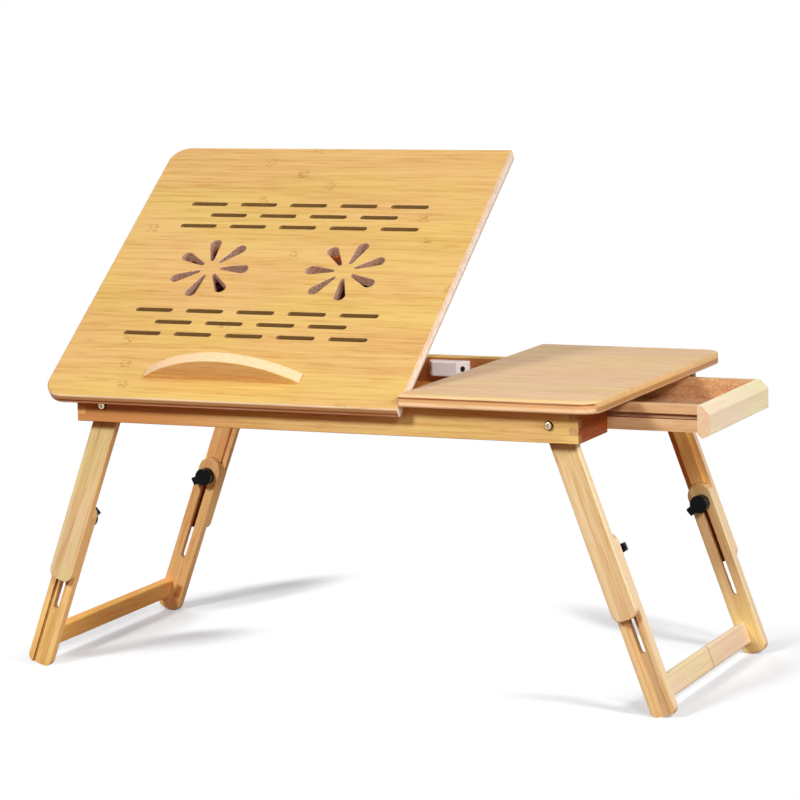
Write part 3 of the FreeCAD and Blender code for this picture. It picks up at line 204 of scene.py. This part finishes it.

# bands through a board from its underside, 0, to its top, 1: height, colour, strength
# the top band of the panel's plies is a painted highlight on its upper arris
PANEL_PLIES = [(0.0, PINK_PLY, 1.0), (0.27, PINK_PLY, 1.0), (0.32, BURNT_PLY, 1.0), (0.45, BURNT_PLY, 1.0),
               (0.52, TAN_PLY, 1.0), (0.74, TAN_PLY, 1.0), (0.82, ARRIS_HIGHLIGHT, 1.0), (1.0, ARRIS_HIGHLIGHT, 1.0)]
PANEL_END_PLIES = [(0.0, GREY_PLY, 1.0), (0.14, GREY_PLY, 1.0), (0.24, WHITE_PLY, 1.0),
                   (0.60, WHITE_PLY, 1.0), (0.70, ROSE_PLY, 1.0), (1.0, ROSE_PLY, 1.0)]
BOARD_PLIES = [(0.0, PALE_PLY, 1.0), (0.34, PALE_PLY, 1.0), (0.46, TAN_PLY, 1.0), (0.62, TAN_PLY, 1.0),
               (0.69, BURNT_PLY, 1.0), (0.77, BURNT_PLY, 1.0), (0.84, PALE_PLY, 0.6), (1.0, PALE_PLY, 0.0)]
BOARD_END_PLIES = [(0.0, PALE_PLY, 1.0), (0.12, PALE_PLY, 1.0), (0.22, BROWN_PLY, 1.0),
                   (0.46, BROWN_PLY, 1.0), (0.58, GOLD_PLY, 1.0), (1.0, GOLD_PLY, 0.8)]

# ---- metal and plastic ----
STEEL = (0.66, 0.64, 0.60)
NICKEL = (0.74, 0.70, 0.64)
BRASS = (0.80, 0.62, 0.40)
# painted shade on the sides of the bolt heads
BRASS_SHADE = (0.06, 0.035, 0.02)
BLACK = (0.016, 0.016, 0.017)
BLACK_PALE = (0.024, 0.024, 0.025)
PLUM = (0.050, 0.014, 0.018)
PLUM_PALE = (0.075, 0.022, 0.026)
JET = (0.003, 0.003, 0.004)
JET_PALE = (0.006, 0.006, 0.007)
RED = (0.62, 0.10, 0.02)
RED_PALE = (0.74, 0.16, 0.03)
MILK = (0.97, 0.97, 1.0)
MILK_PALE = (0.99, 0.99, 1.0)

# ---- stage ----
WHITE = (1.0, 1.0, 1.0)
FLOOR_HALF = 6.0
FLOOR_WHITE = (0.77, 0.77, 0.77)
FLOOR_GLOW = (0.24, 0.30, 0.325)
FLOOR_BOUNCE = (0.20, 0.065, 0.022)
ROOM_WARM = (1.0, 0.36, 0.13)
ROOM_STRENGTH = 0.14
# ovals on the floor where shadows show: x, y, turn in degrees, half-length, half-width
SHADOWS = [(-0.290, 0.200, 65, 0.18, 0.050), (-0.275, -0.025, 49, 0.15, 0.050),
           (-0.325, 0.030, 90, 0.20, 0.070), (0.310, 0.020, 90, 0.26, 0.085),
           (0.205, 0.182, 147, 0.20, 0.048), (0.235, -0.108, 3, 0.12, 0.045)]
# the camera: its place, its yaw, pitch and roll in degrees, its lens and sensor in millimetres
EYE = Vector((1.203766, -2.650383, 0.686823))
EYE_TURN = (24.4079, -8.5071, -1.3905)
LENS = 140.005
SENSOR = 36.0
VIEW_END = 30.0


# ---- node helpers ----
def add(tree, kind, inputs=None, **settings):
    """A new node: settings are its properties, inputs its values or the sockets that feed it."""
    made = tree.nodes.new(kind)
    for key, value in settings.items():
        setattr(made, key, value)
    for key, value in (inputs or {}).items():
        if isinstance(value, bpy.types.NodeSocket):
            tree.links.new(value, made.inputs[key])
        else:
            made.inputs[key].default_value = value
    return made


def calc(tree, operation, a, b=0.0, c=0.0, clamp=False):
    return add(tree, "ShaderNodeMath", {0: a, 1: b, 2: c}, operation=operation, use_clamp=clamp).outputs[0]


def blend(tree, factor, a, b, mode="MIX"):
    mixed = add(tree, "ShaderNodeMix", {0: factor, 6: a, 7: b}, data_type="RGBA", blend_type=mode)
    return mixed.outputs[2]


def rgba(colour):
    return (*colour, 1.0)


def rise(tree, value, low, high, to_low=0.0, to_high=1.0):
    """Value taken smoothly from low..high to to_low..to_high."""
    ranged = add(tree, "ShaderNodeMapRange", {0: value, 1: low, 2: high, 3: to_low, 4: to_high},
                 interpolation_type="SMOOTHSTEP")
    return ranged.outputs[0]


def noise(tree, vector, cells, detail=2.0, roughness=0.5):
    """Noise from 0 to 1 with its own number of cells per metre along each axis."""
    place = add(tree, "ShaderNodeVectorMath", {0: vector, 1: cells}, operation="MULTIPLY").outputs[0]
    made = add(tree, "ShaderNodeTexNoise", {"Vector": place, "Scale": 1.0, "Detail": detail,
                                            "Roughness": roughness})
    return made.outputs["Fac"]


def split(tree, vector):
    return add(tree, "ShaderNodeSeparateXYZ", {0: vector}).outputs


def chance(tree, value, seed):
    """A fixed random number for each whole number in value."""
    made = add(tree, "ShaderNodeTexWhiteNoise", {"Vector": seed, "W": value}, noise_dimensions="4D")
    return made.outputs["Value"]


def facing(tree, normal, way):
    """How far a surface faces along way or against it, from 0 to 1."""
    turned = add(tree, "ShaderNodeVectorMath", {0: normal, 1: way}, operation="DOT_PRODUCT")
    return calc(tree, "ABSOLUTE", turned.outputs["Value"])


def bump(tree, surface, height, strength, depth):
    raised = add(tree, "ShaderNodeBump", {"Strength": strength, "Distance": depth, "Height": height})
    tree.links.new(raised.outputs[0], surface.inputs["Normal"])


def new_material(name, **shader):
    """A material with a Principled shader whose constant sockets are given by name."""
    material = bpy.data.materials.new(name)
    material.use_nodes = True
    tree = material.node_tree
    tree.nodes.clear()
    surface = add(tree, "ShaderNodeBsdfPrincipled")
    for key, value in shader.items():
        surface.inputs[key.replace("_", " ")].default_value = value
    add(tree, "ShaderNodeOutputMaterial", {"Surface": surface.outputs[0]})
    return material, tree, surface


# ---- bamboo ----
def grain_space(tree, along, across, origin):
    """Position with x along the grain, y across the strips and z through the board, in metres, and how
    far the surface faces along the grain and through the board."""
    depth = along.cross(across)
    turn = Matrix((along, across, depth))
    where = add(tree, "ShaderNodeTexCoord")
    mapped = add(tree, "ShaderNodeMapping", {"Vector": where.outputs["Object"], "Location": turn @ (-origin),
                                             "Rotation": turn.to_euler("XYZ")})
    endwise, flatwise = (facing(tree, where.outputs["Normal"], way) for way in (along, depth))
    return mapped.outputs[0], endwise, flatwise


def strips_of(tree, grain, strip, seed):
    """How far across its strip a place is, and three fixed random numbers for that strip."""
    wander = calc(tree, "MULTIPLY", noise(tree, grain, WANDER_CELLS, 1.0), STRIP_WANDER)
    across = calc(tree, "ADD", split(tree, grain)[1], wander)
    lane = calc(tree, "ADD", calc(tree, "DIVIDE", across, strip), 0.37 + seed)
    index = calc(tree, "FLOOR", lane)
    throws = [chance(tree, index, (seed, spot, 4.2)) for spot in (1.7, 5.1, 8.8)]
    return calc(tree, "FRACT", lane), throws


def fibres_of(tree, grain):
    """Long fibres from 0, pale, to 1, dark, made of broad streaks, thin dashes and the finest lines, and
    the dashes by themselves."""
    streak = rise(tree, noise(tree, grain, STREAK_CELLS), 0.36, 0.64)
    dash = noise(tree, grain, DASH_CELLS, 2.0, 0.6)
    hair = noise(tree, grain, HAIR_CELLS, 2.0, 0.6)
    dark = calc(tree, "MULTIPLY", rise(tree, dash, 0.52, 0.66), 0.75)
    pale = calc(tree, "MULTIPLY", rise(tree, dash, 0.48, 0.34), 0.35)
    lines = calc(tree, "ADD", calc(tree, "SUBTRACT", dark, pale), calc(tree, "MULTIPLY", hair, 0.35))
    return calc(tree, "ADD", calc(tree, "MULTIPLY", streak, 0.6), lines), dash


def wood_tone(tree, grain, strip_throw, fibres, light, deep, tone, fibre):
    """Wood between light and deep: tone is how much the strips differ, fibre how strong the fibres are."""
    cloud = rise(tree, noise(tree, grain, CLOUD_CELLS), 0.3, 0.75)
    darkness = calc(tree, "MULTIPLY_ADD", strip_throw, tone, calc(tree, "MULTIPLY", cloud, 0.2))
    darkness = calc(tree, "MULTIPLY_ADD", calc(tree, "SUBTRACT", fibres, 0.38), fibre, darkness, clamp=True)
    colour = blend(tree, darkness, rgba(light), rgba(deep))
    hue = rise(tree, noise(tree, grain, HUE_CELLS, 1.0), 0.38, 0.62)
    return blend(tree, 1.0, colour, blend(tree, hue, rgba(LEAF_TINT), rgba(ROSE_TINT)), "MULTIPLY")


def node_marks(tree, grain, within, throws, pitch):
    """The small speckled marks where the cane's nodes were, one row of them now and then on a strip."""
    place = calc(tree, "ADD", calc(tree, "DIVIDE", split(tree, grain)[0], pitch),
                 calc(tree, "MULTIPLY", throws[1], 7.0))
    ragged = calc(tree, "MULTIPLY", noise(tree, grain, RAGGED_CELLS), NODE_RAGGED / pitch)
    turns = calc(tree, "FRACT", calc(tree, "ADD", place, ragged))
    off = calc(tree, "ABSOLUTE", calc(tree, "SUBTRACT", turns, 0.5))
    near = rise(tree, off, NODE_OUTER / pitch, NODE_INNER / pitch)
    middle = calc(tree, "MULTIPLY_ADD", throws[2], 0.5, 0.25)
    side = calc(tree, "ABSOLUTE", calc(tree, "SUBTRACT", within, middle))
    specks = rise(tree, noise(tree, grain, SPECK_CELLS, 1.0), 0.44, 0.62)
    return calc(tree, "MULTIPLY", calc(tree, "MULTIPLY", near, rise(tree, side, 0.42, 0.18)), specks)


def banded(tree, place, bands):
    """Colour and strength read off a list of (place, colour, strength) bands."""
    ramp = add(tree, "ShaderNodeValToRGB", {"Fac": place})
    stops = ramp.color_ramp.elements
    for _ in bands[2:]:
        stops.new(0.5)
    for stop, (at, colour, strength) in zip(stops, bands):
        stop.position = at
        stop.color = (*colour, strength)
    return ramp.outputs["Color"], ramp.outputs["Alpha"]


def layered(tree, grain, end, flatwise, fibres, dash, colour, deep, thickness, plies, end_plies):
    """Colour with the plies that show on a board's long edges and on its ends."""
    height = calc(tree, "DIVIDE", split(tree, grain)[2], thickness)
    height = calc(tree, "ADD", height, calc(tree, "MULTIPLY_ADD", dash, 0.06, -0.03))
    upright = rise(tree, flatwise, 0.85, 0.55)
    for bands, shown in ((plies, calc(tree, "SUBTRACT", 1.0, end)), (end_plies, end)):
        ply, strength = banded(tree, height, bands)
        ply = blend(tree, calc(tree, "MULTIPLY", fibres, 0.35), ply, rgba(deep))
        strength = calc(tree, "MULTIPLY", calc(tree, "MULTIPLY", strength, shown), upright)
        colour = blend(tree, strength, colour, ply)
    return colour


def patch(low, high, light, deep, walls=False, strength=0.9, soft=SOFT):
    """A painter for the part of a board inside a box of its grain space, or only for the upright walls
    there. None in a corner leaves the box open along that axis."""
    def paint(tree, grain, flatwise, dash, colour):
        place = split(tree, grain)
        inside = strength
        for axis in range(3):
            if low[axis] is not None:
                inside = calc(tree, "MULTIPLY", inside, rise(tree, place[axis], low[axis] - soft, low[axis]))
                inside = calc(tree, "MULTIPLY", inside,
                              rise(tree, place[axis], high[axis] + soft, high[axis]))
        if walls:
            inside = calc(tree, "MULTIPLY", inside, rise(tree, flatwise, 0.75, 0.45))
        mottle = calc(tree, "MULTIPLY", rise(tree, noise(tree, grain, MOTTLE_CELLS), 0.35, 0.65), 0.5)
        mottle = calc(tree, "MULTIPLY_ADD", dash, 0.5, mottle)
        return blend(tree, inside, colour, blend(tree, mottle, rgba(light), rgba(deep)))
    return paint


def bamboo(name, along, across, origin, light, deep, strip, seed, tone=0.3, fibre=0.6, nodes=0.7,
           node_pitch=0.27, joint_line=0.25, thickness=None, plies=None, end_plies=None, ends=None,
           patches=(), gloss=0.12):
    """Laminated bamboo: strips of differing tone, long fibres, node marks, end grain, a thin lacquer.

    plies and end_plies are bands through a board of the given thickness, from its underside up, on its
    long edges and on its ends; ends is the (light, deep) colour of plain end grain; patches are painters.
    """
    material, tree, surface = new_material(name, Coat_Weight=gloss / 3, Coat_Roughness=0.28,
                                           Specular_IOR_Level=gloss)
    grain, endwise, flatwise = grain_space(tree, along, across, origin)
    within, throws = strips_of(tree, grain, strip, seed)
    fibres, dash = fibres_of(tree, grain)
    colour = wood_tone(tree, grain, throws[0], fibres, light, deep, tone, fibre)

    mark = calc(tree, "MULTIPLY", node_marks(tree, grain, within, throws, node_pitch), nodes)
    colour = blend(tree, mark, colour, rgba(NODE_BROWN))
    edge = calc(tree, "MINIMUM", within, calc(tree, "SUBTRACT", 1.0, within))
    line = rise(tree, edge, GLUE_LINE / strip, 0.0, 0.0, joint_line)
    colour = blend(tree, line, colour, rgba(GLUE_BROWN))

    end = rise(tree, endwise, 0.80, 0.93)
    if plies:
        colour = layered(tree, grain, end, flatwise, fibres, dash, colour, deep, thickness, plies, end_plies)
    else:
        end_light, end_deep = ends or (light, deep)
        pores = rise(tree, noise(tree, grain, END_CELLS), 0.38, 0.62)
        end_colour = blend(tree, pores, rgba(end_light), rgba(end_deep))
        colour = blend(tree, calc(tree, "MULTIPLY", end, 0.85), colour, end_colour)
    for paint in patches:
        colour = paint(tree, grain, flatwise, dash, colour)
    tree.links.new(colour, surface.inputs["Base Color"])

    tree.links.new(rise(tree, dash, 0.3, 0.7, 0.40, 0.55), surface.inputs["Roughness"])
    height = calc(tree, "SUBTRACT", calc(tree, "MULTIPLY", dash, 0.6), calc(tree, "MULTIPLY", line, 0.8))
    bump(tree, surface, height, 0.25, BUMP_DEPTH)
    return material


# ---- other materials ----
def steel(name, colour, roughness, rim=None):
    """Turned metal; rim is a painted shade colour for the surfaces that face away from the part's front and
    back.
    """
    material, tree, surface = new_material(name, Metallic=1.0)
    where = add(tree, "ShaderNodeTexCoord")
    place = where.outputs["Object"]
    wear = rise(tree, noise(tree, place, WEAR_CELLS, 3.0, 0.6), 0.4, 0.7)
    lines = noise(tree, place, BRUSHED_CELLS)
    shade = blend(tree, wear, rgba(colour), rgba([c * 0.78 for c in colour]))
    if rim:
        away = rise(tree, facing(tree, where.outputs["Normal"], Y), 0.97, 0.86)
        shade = blend(tree, away, shade, rgba(rim))
    tree.links.new(shade, surface.inputs["Base Color"])
    tree.links.new(rise(tree, lines, 0.3, 0.7, roughness, roughness + 0.16), surface.inputs["Roughness"])
    bump(tree, surface, lines, 0.12, FINE_BUMP_DEPTH)
    return material


def plastic(name, colour, pale, roughness, pebble=1800.0, bumpy=0.08, **shader):
    """Moulded plastic: a fine pebble of so many cells per metre, and faint mottling between two colours
    and between two roughnesses."""
    material, tree, surface = new_material(name, **shader)
    where = add(tree, "ShaderNodeTexCoord").outputs["Object"]
    cloud = noise(tree, where, STAIN_CELLS, 3.0)
    mottled = blend(tree, rise(tree, cloud, 0.35, 0.7), rgba(colour), rgba(pale))
    tree.links.new(mottled, surface.inputs["Base Color"])
    tree.links.new(rise(tree, cloud, 0.3, 0.7, *roughness), surface.inputs["Roughness"])
    bump(tree, surface, noise(tree, where, (pebble, pebble, pebble), 2.0, 0.6), bumpy, FINE_BUMP_DEPTH)
    return material


# ---- what each node is made of ----
def dress(material, *names):
    for name in names:
        shape = frame["nodes"][name].data
        shape.materials.clear()
        shape.materials.append(material)


def dress_top():
    low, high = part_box("tilting_panel")
    # painted shade on the walls of the slots and petals
    vents = [patch((low[0] + VENT_MARGIN, reach[0], None), (high[0] - VENT_MARGIN, reach[1], None), *tones,
                   walls=True, strength=1.0) for reach, tones in VENT_WALLS]
    dress(bamboo("bamboo_panel", X, PANEL_BACK, HINGE, HONEY, HONEY_DEEP, strip=TOP_STRIP, seed=0.0,
                 tone=0.2, nodes=0.6, node_pitch=0.42, thickness=BOARD_T, plies=PANEL_PLIES,
                 end_plies=PANEL_END_PLIES, patches=vents), "tilting_panel")
    dress(bamboo("bamboo_side_board", X, Y, BOARD_FOOT, SAND, SAND_DEEP, strip=TOP_STRIP, seed=11.0,
                 tone=0.15, fibre=0.4, nodes=0.2, joint_line=0.15, thickness=BOARD_T,
                 plies=BOARD_PLIES, end_plies=BOARD_END_PLIES), "fixed_side_board")
    crown = patch((None, None, None), (None, None, None), LEDGE_ROSE, LEDGE_TAN, walls=True)
    dress(bamboo("bamboo_ledge", X, PANEL_UP, HINGE, STRAW, STRAW_DEEP, strip=LEDGE_STRIP, seed=5.0,
                 nodes=0.0, joint_line=0.0, patches=[crown]), "laptop_ledge")


def dress_frame():
    russet_ends = (RUSSET, RUSSET_DEEP)
    # painted shade on the front rail's left end, under the tilted panel
    shaded_left_end = patch((RAIL_SHADED_END[0], None, None), (RAIL_SHADED_END[1], None, None), RAIL_TAN, UMBER,
                     strength=0.85, soft=RAIL_FADE)
    dress(bamboo("bamboo_front_rail", X, Z, RAIL_FOOT, RAIL_GOLD, RAIL_DEEP, strip=RAIL_STRIP, seed=2.0,
                 nodes=0.15, ends=russet_ends, patches=[shaded_left_end]), "front_rail")
    # painted shade on the rear rail's inner face
    shaded_inner_face = patch((None, REAR_RAIL_SHADED[0], REAR_RAIL_FACE[0]),
                       (None, REAR_RAIL_SHADED[1], REAR_RAIL_FACE[1]), UMBER, UMBER_DEEP)
    dress(bamboo("bamboo_rear_rail", X, Z, RAIL_FOOT, STRAW, STRAW_DEEP, strip=RAIL_STRIP, seed=3.0,
                 ends=russet_ends, patches=[shaded_inner_face]), "rear_rail")
    dress(bamboo("bamboo_cross_rails", Y, Z, RAIL_FOOT, STRAW, STRAW_DEEP, strip=RAIL_STRIP, seed=4.0),
          "left_end_rail", "tilt_rail")
    # the end boards are painted deep russet for the shade under the side board's overhang
    dress(bamboo("bamboo_end_boards_painted_shade", Y, Z, RAIL_FOOT, RUSSET, RUSSET_DEEP, strip=RAIL_STRIP, seed=4.6,
                 nodes=0.0, gloss=0.04, ends=(SAND, HONEY_DEEP)),
          "right_end_front_board", "right_end_rear_board")
    # the middle rail is painted deep umber for the shade it sits in under the panel
    dress(bamboo("bamboo_middle_rail_painted_shade", Y, X, RAIL_FOOT, UMBER, UMBER_DEEP, strip=RAIL_STRIP, seed=4.8,
                 gloss=0.0), "middle_rail")
    dress(bamboo("bamboo_guides", X, Z, RAIL_FOOT, STRAW, STRAW_DEEP, strip=RAIL_STRIP, seed=6.0),
          "front_drawer_guide", "rear_drawer_guide", "drawer_runners")
    dress(bamboo("bamboo_dowels", Z, X, ORIGIN, STRAW, STRAW_DEEP, strip=DOWEL_STRIP, seed=6.5),
          "side_board_dowels")
    dress(bamboo("bamboo_prop", PROP_ALONG, X, ORIGIN, STRAW, STRAW_DEEP, strip=PROP_STRIP, seed=7.0),
          "prop_left_arm", "prop_right_arm", "prop_stretcher")
    dress(bamboo("bamboo_prop_bar", X, Y, ORIGIN, STRAW, STRAW_DEEP, strip=DOWEL_STRIP, seed=7.5), "prop_bar")
    dress(bamboo("bamboo_prop_block", PANEL_BACK, X, ORIGIN, STRAW, STRAW_DEEP, strip=PROP_STRIP, seed=8.0),
          "prop_block")


def dress_drawer():
    near, far = DRAWER_GROOVE_DEPTHS
    low, high = DRAWER_GROOVE_HEIGHTS
    # painted shade in the runner's grooves on the drawer sides
    groove_shade = [patch((None, low, first), (None, high, last), PAINTED_SHADE, PAINTED_SHADE_DEEP)
               for first, last in ((near, far), (-far, -near))]
    # the sides' inner faces: darker streaks of grain, and painted shade inside the drawer
    inside = patch((None, None, DRAWER_INSIDE[0]), (None, None, DRAWER_INSIDE[1]), DRAWER_GOLD, RUSSET,
                   strength=0.75)
    dress(bamboo("bamboo_drawer_front", Y, Z, DRAWER_FOOT, DRAWER_CREAM, DRAWER_BEIGE,
                 strip=DRAWER_FRONT_STRIP, seed=21.0, tone=0.15, fibre=0.3, nodes=0.2, joint_line=0.1,
                 ends=DRAWER_ENDS), "drawer_front")
    dress(bamboo("bamboo_drawer_sides", X, Z, DRAWER_FOOT, DRAWER_TAN, DRAWER_DEEP, strip=DRAWER_STRIP,
                 seed=22.0, patches=[inside] + groove_shade), "drawer_front_side", "drawer_rear_side")
    dress(bamboo("bamboo_drawer_back", Y, Z, DRAWER_FOOT, DRAWER_TAN, DRAWER_DEEP, strip=DRAWER_STRIP,
                 seed=23.0), "drawer_back")
    dress(bamboo("bamboo_drawer_floor", Y, X, ORIGIN, DRAWER_TAN, DRAWER_DEEP, strip=DRAWER_FLOOR_STRIP,
                 seed=24.0), "drawer_floor")


def leg_patches(leg):
    """Painters for the walls of a lower leg's channel, in painted shade, and of its slot, for the painted
    shade on an upper leg's tongue behind the slot, for the leg's edge that faces right, with painted
    highlight on a right leg and painted shade on a left leg, and for the painted shadow by the rear left
    foot."""
    row, side, part = leg.split("_")
    y_sign = -1 if row == "front" else 1
    w_sign = -1 if side == "right" else 1

    def strip(depths, half, along, tones, **settings):
        """A painter for a strip down the leg's middle, between two depths from MIDDLE_Y."""
        low, high = sorted(w_sign * (y_sign * depth + MIDDLE_Y) for depth in depths)
        return patch((along[0], -half, low), (along[1], half, high), *tones, **settings)

    if part == "lower":
        painters = [strip(LEG_CHANNEL, LEG_GROOVE, (None, None), CHANNEL_SHADE_TONES[leg], walls=True),
                    strip(LEG_SLOT, LEG_GROOVE, (None, None), (SLOT_TAN, SLOT_BROWN), walls=True)]
    else:
        # painted shade on the upper leg's tongue, seen through the slot
        painters = [strip(LEG_TONGUE, TONGUE_SHADE, LEG_LAP, (PAINTED_SHADE, PAINTED_SHADE_DEEP))]
    # the edge that faces right: painted highlight on a right leg, painted shade on a left leg
    if side == "right":
        painters.append(patch((None, LEG_SIDE, None), (None, LEG_W, None), CREAM, CREAM_DEEP))
    else:
        painters.append(patch((None, -LEG_W, None), (None, -LEG_SIDE, None), AMBER, BRONZE))
    if leg == "rear_left_lower":
        # painted shadow of the crossbar's end on the rear left leg
        painters.append(patch(*FOOT_SHADOW, RUSSET, UMBER_DEEP, strength=0.85, soft=FOOT_SHADOW_FADE))
    return painters


def dress_legs():
    for order, (leg, (light, deep)) in enumerate(LEG_TONES.items()):
        side = leg.split("_")[1]
        dress(bamboo("bamboo_%s_leg" % leg, LEG_DOWN[side], LEG_OUT[side], LEG_PIVOT[side], light, deep,
                     strip=LEG_STRIP, seed=LEG_SEED + LEG_SEED_STEP * order, tone=0.4, nodes=0.12,
                     gloss=0.07, patches=leg_patches(leg)), leg + "_leg")
    bar_node = patch((BAR_NODE[0], None, None), (BAR_NODE[1], None, None), GLUE_BROWN, GLUE_BROWN,
                     strength=0.6, soft=BAR_NODE_FADE)
    bars = {"left": (COPPER, COPPER_DEEP, 0.7, []), "right": (BIRCH, BIRCH_DEEP, 0.35, [bar_node])}
    for side, (light, deep, fibre, patches) in bars.items():
        dress(bamboo("bamboo_%s_crossbar" % side, Y, LEG_DOWN[side], ORIGIN, light, deep, strip=BAR_STRIP,
                     seed=36.0, tone=0.2, fibre=fibre, nodes=0.0, gloss=0.07, patches=patches),
              side + "_crossbar")


def dress_fixings():
    dress(steel("zinc", STEEL, roughness=0.28), "hinge_frame_leaves", "hinge_pins", "hinge_frame_screws",
          "hinge_panel_leaves", "hinge_panel_screws", "ledge_screws", "fan_screws", "prop_pin",
          "prop_block_screws")
    dress(steel("nickel", NICKEL, roughness=0.16), "leg_pivot_nuts", "left_clamp_bolts", "right_clamp_bolts",
          "left_clamp_washers", "right_clamp_washers")
    # the bolt heads' sides get painted shade
    dress(steel("bolt_brass", BRASS, roughness=0.22, rim=BRASS_SHADE), "leg_pivot_bolts")
    dress(plastic("black_plastic", BLACK, BLACK_PALE, (0.42, 0.55), Specular_IOR_Level=0.25),
          "leg_pivot_spacers", "fan_hub_jacks")
    dress(plastic("fan_dark_plastic", PLUM, PLUM_PALE, (0.40, 0.52), Specular_IOR_Level=0.2),
          "left_fan_impeller", "right_fan_impeller")
    dress(plastic("knob_plastic", JET, JET_PALE, (0.10, 0.20), pebble=900.0, bumpy=0.04,
                  Specular_IOR_Level=0.09),
          "front_left_knob", "rear_left_knob", "front_right_knob", "rear_right_knob")
    dress(plastic("fan_red_plastic", RED, RED_PALE, (0.25, 0.38), pebble=1200.0, bumpy=0.05),
          "left_fan_frame", "right_fan_frame")
    dress(plastic("hub_white_plastic", MILK, MILK_PALE, (0.30, 0.42)), "fan_hub_case")


# ---- the stage ----
def outside(tree, ovals):
    """How far a place on the floor is from the nearest oval's middle, with 1 on the oval's rim."""
    where = add(tree, "ShaderNodeTexCoord").outputs["Object"]
    nearest = 10.0
    for x, y, turn, length, width in ovals:
        local = add(tree, "ShaderNodeMapping", {"Vector": where, "Location": (x, y, 0),
                                                "Rotation": (0, 0, math.radians(turn)),
                                                "Scale": (length, width, 1)}, vector_type="TEXTURE")
        size = add(tree, "ShaderNodeVectorMath", {0: local.outputs[0]}, operation="LENGTH")
        nearest = calc(tree, "MINIMUM", nearest, size.outputs["Value"])
    return nearest


def seen(tree):
    """1 for rays that show the stage itself, from the camera, a shiny surface or a clear one, else 0."""
    path = add(tree, "ShaderNodeLightPath")
    shiny = calc(tree, "MAXIMUM", path.outputs["Is Glossy Ray"], path.outputs["Is Transmission Ray"])
    return calc(tree, "MAXIMUM", path.outputs["Is Camera Ray"], shiny)


def floor():
    """White floor that keeps the part's shadow inside the ovals and is plain white round them. It throws
    warm light back on the part."""
    mesh = bpy.data.meshes.new("floor")
    corners = [(-FLOOR_HALF, -FLOOR_HALF, 0), (FLOOR_HALF, -FLOOR_HALF, 0), (FLOOR_HALF, FLOOR_HALF, 0),
               (-FLOOR_HALF, FLOOR_HALF, 0)]
    mesh.from_pydata(corners, [], [(0, 1, 2, 3)])
    shape = bpy.data.objects.new("floor", mesh)
    bpy.context.scene.collection.objects.link(shape)
    material = bpy.data.materials.new("floor_white")
    material.use_nodes = True
    tree = material.node_tree
    tree.nodes.clear()
    lit = add(tree, "ShaderNodeBsdfDiffuse", {"Color": rgba(FLOOR_WHITE)})
    glow = add(tree, "ShaderNodeEmission", {"Color": rgba(FLOOR_GLOW), "Strength": 1.0})
    near = add(tree, "ShaderNodeAddShader", {0: lit.outputs[0], 1: glow.outputs[0]})
    far = add(tree, "ShaderNodeEmission", {"Color": rgba(WHITE), "Strength": 1.0})
    backdrop = add(tree, "ShaderNodeMixShader", {0: rise(tree, outside(tree, SHADOWS), 0.45, 1.0),
                                                 1: near.outputs[0], 2: far.outputs[0]})
    bounce = add(tree, "ShaderNodeBsdfDiffuse", {"Color": rgba(FLOOR_BOUNCE)})
    shown = add(tree, "ShaderNodeMixShader", {0: seen(tree), 1: bounce.outputs[0], 2: backdrop.outputs[0]})
    add(tree, "ShaderNodeOutputMaterial", {"Surface": shown.outputs[0]})
    mesh.materials.append(material)


def softbox(name, place, aim_z, size, power):
    """A square lamp aimed at a height above the part's origin."""
    light = bpy.data.lights.new(name, "AREA")
    light.shape = "RECTANGLE"
    light.size = size
    light.size_y = size
    light.energy = power
    lamp = bpy.data.objects.new(name, light)
    lamp.location = place
    lamp.rotation_euler = (Vector((0, 0, aim_z)) - Vector(place)).to_track_quat("-Z", "Y").to_euler()
    bpy.context.scene.collection.objects.link(lamp)


def world_light():
    """A warm dim room that is seen as plain white."""
    world = bpy.data.worlds.new("studio")
    bpy.context.scene.world = world
    world.use_nodes = True
    tree = world.node_tree
    tree.nodes.clear()
    fill = add(tree, "ShaderNodeBackground", {"Color": rgba(ROOM_WARM), "Strength": ROOM_STRENGTH})
    white = add(tree, "ShaderNodeBackground", {"Color": rgba(WHITE), "Strength": 1.0})
    mixed = add(tree, "ShaderNodeMixShader", {0: seen(tree), 1: fill.outputs[0], 2: white.outputs[0]})
    add(tree, "ShaderNodeOutputWorld", {"Surface": mixed.outputs[0]})


def camera():
    yaw, pitch, roll = (math.radians(a) for a in EYE_TURN)
    ahead = Vector((-math.sin(yaw) * math.cos(pitch), math.cos(yaw) * math.cos(pitch), math.sin(pitch)))
    level = Vector((math.cos(yaw), math.sin(yaw), 0))
    upright = level.cross(ahead)
    right = math.cos(roll) * level + math.sin(roll) * upright
    up = math.cos(roll) * upright - math.sin(roll) * level
    data = bpy.data.cameras.new("photo_view")
    data.sensor_fit = "HORIZONTAL"
    data.sensor_width = SENSOR
    data.lens = LENS
    data.clip_end = VIEW_END
    shape = bpy.data.objects.new("photo_view", data)
    turn = Matrix((right, up, -ahead)).transposed()
    shape.matrix_world = Matrix.Translation(EYE) @ turn.to_4x4()
    bpy.context.scene.collection.objects.link(shape)
    bpy.context.scene.camera = shape


def stage():
    floor()
    world_light()
    softbox("key_front", (-0.80, -2.35, 1.70), aim_z=0.25, size=0.50, power=51)
    softbox("key_right", (2.35, -0.90, 1.90), aim_z=0.25, size=0.60, power=42)
    softbox("front_right", (1.50, -1.90, 1.60), aim_z=0.25, size=0.70, power=21)
    softbox("low_right", (2.40, -0.90, 0.55), aim_z=0.15, size=0.50, power=11)
    softbox("back_left", (-1.60, 1.70, 2.00), aim_z=0.25, size=1.20, power=18)
    camera()
    bpy.context.scene.view_settings.view_transform = "Standard"


dress_top()
dress_frame()
dress_drawer()
dress_legs()
dress_fixings()
stage()
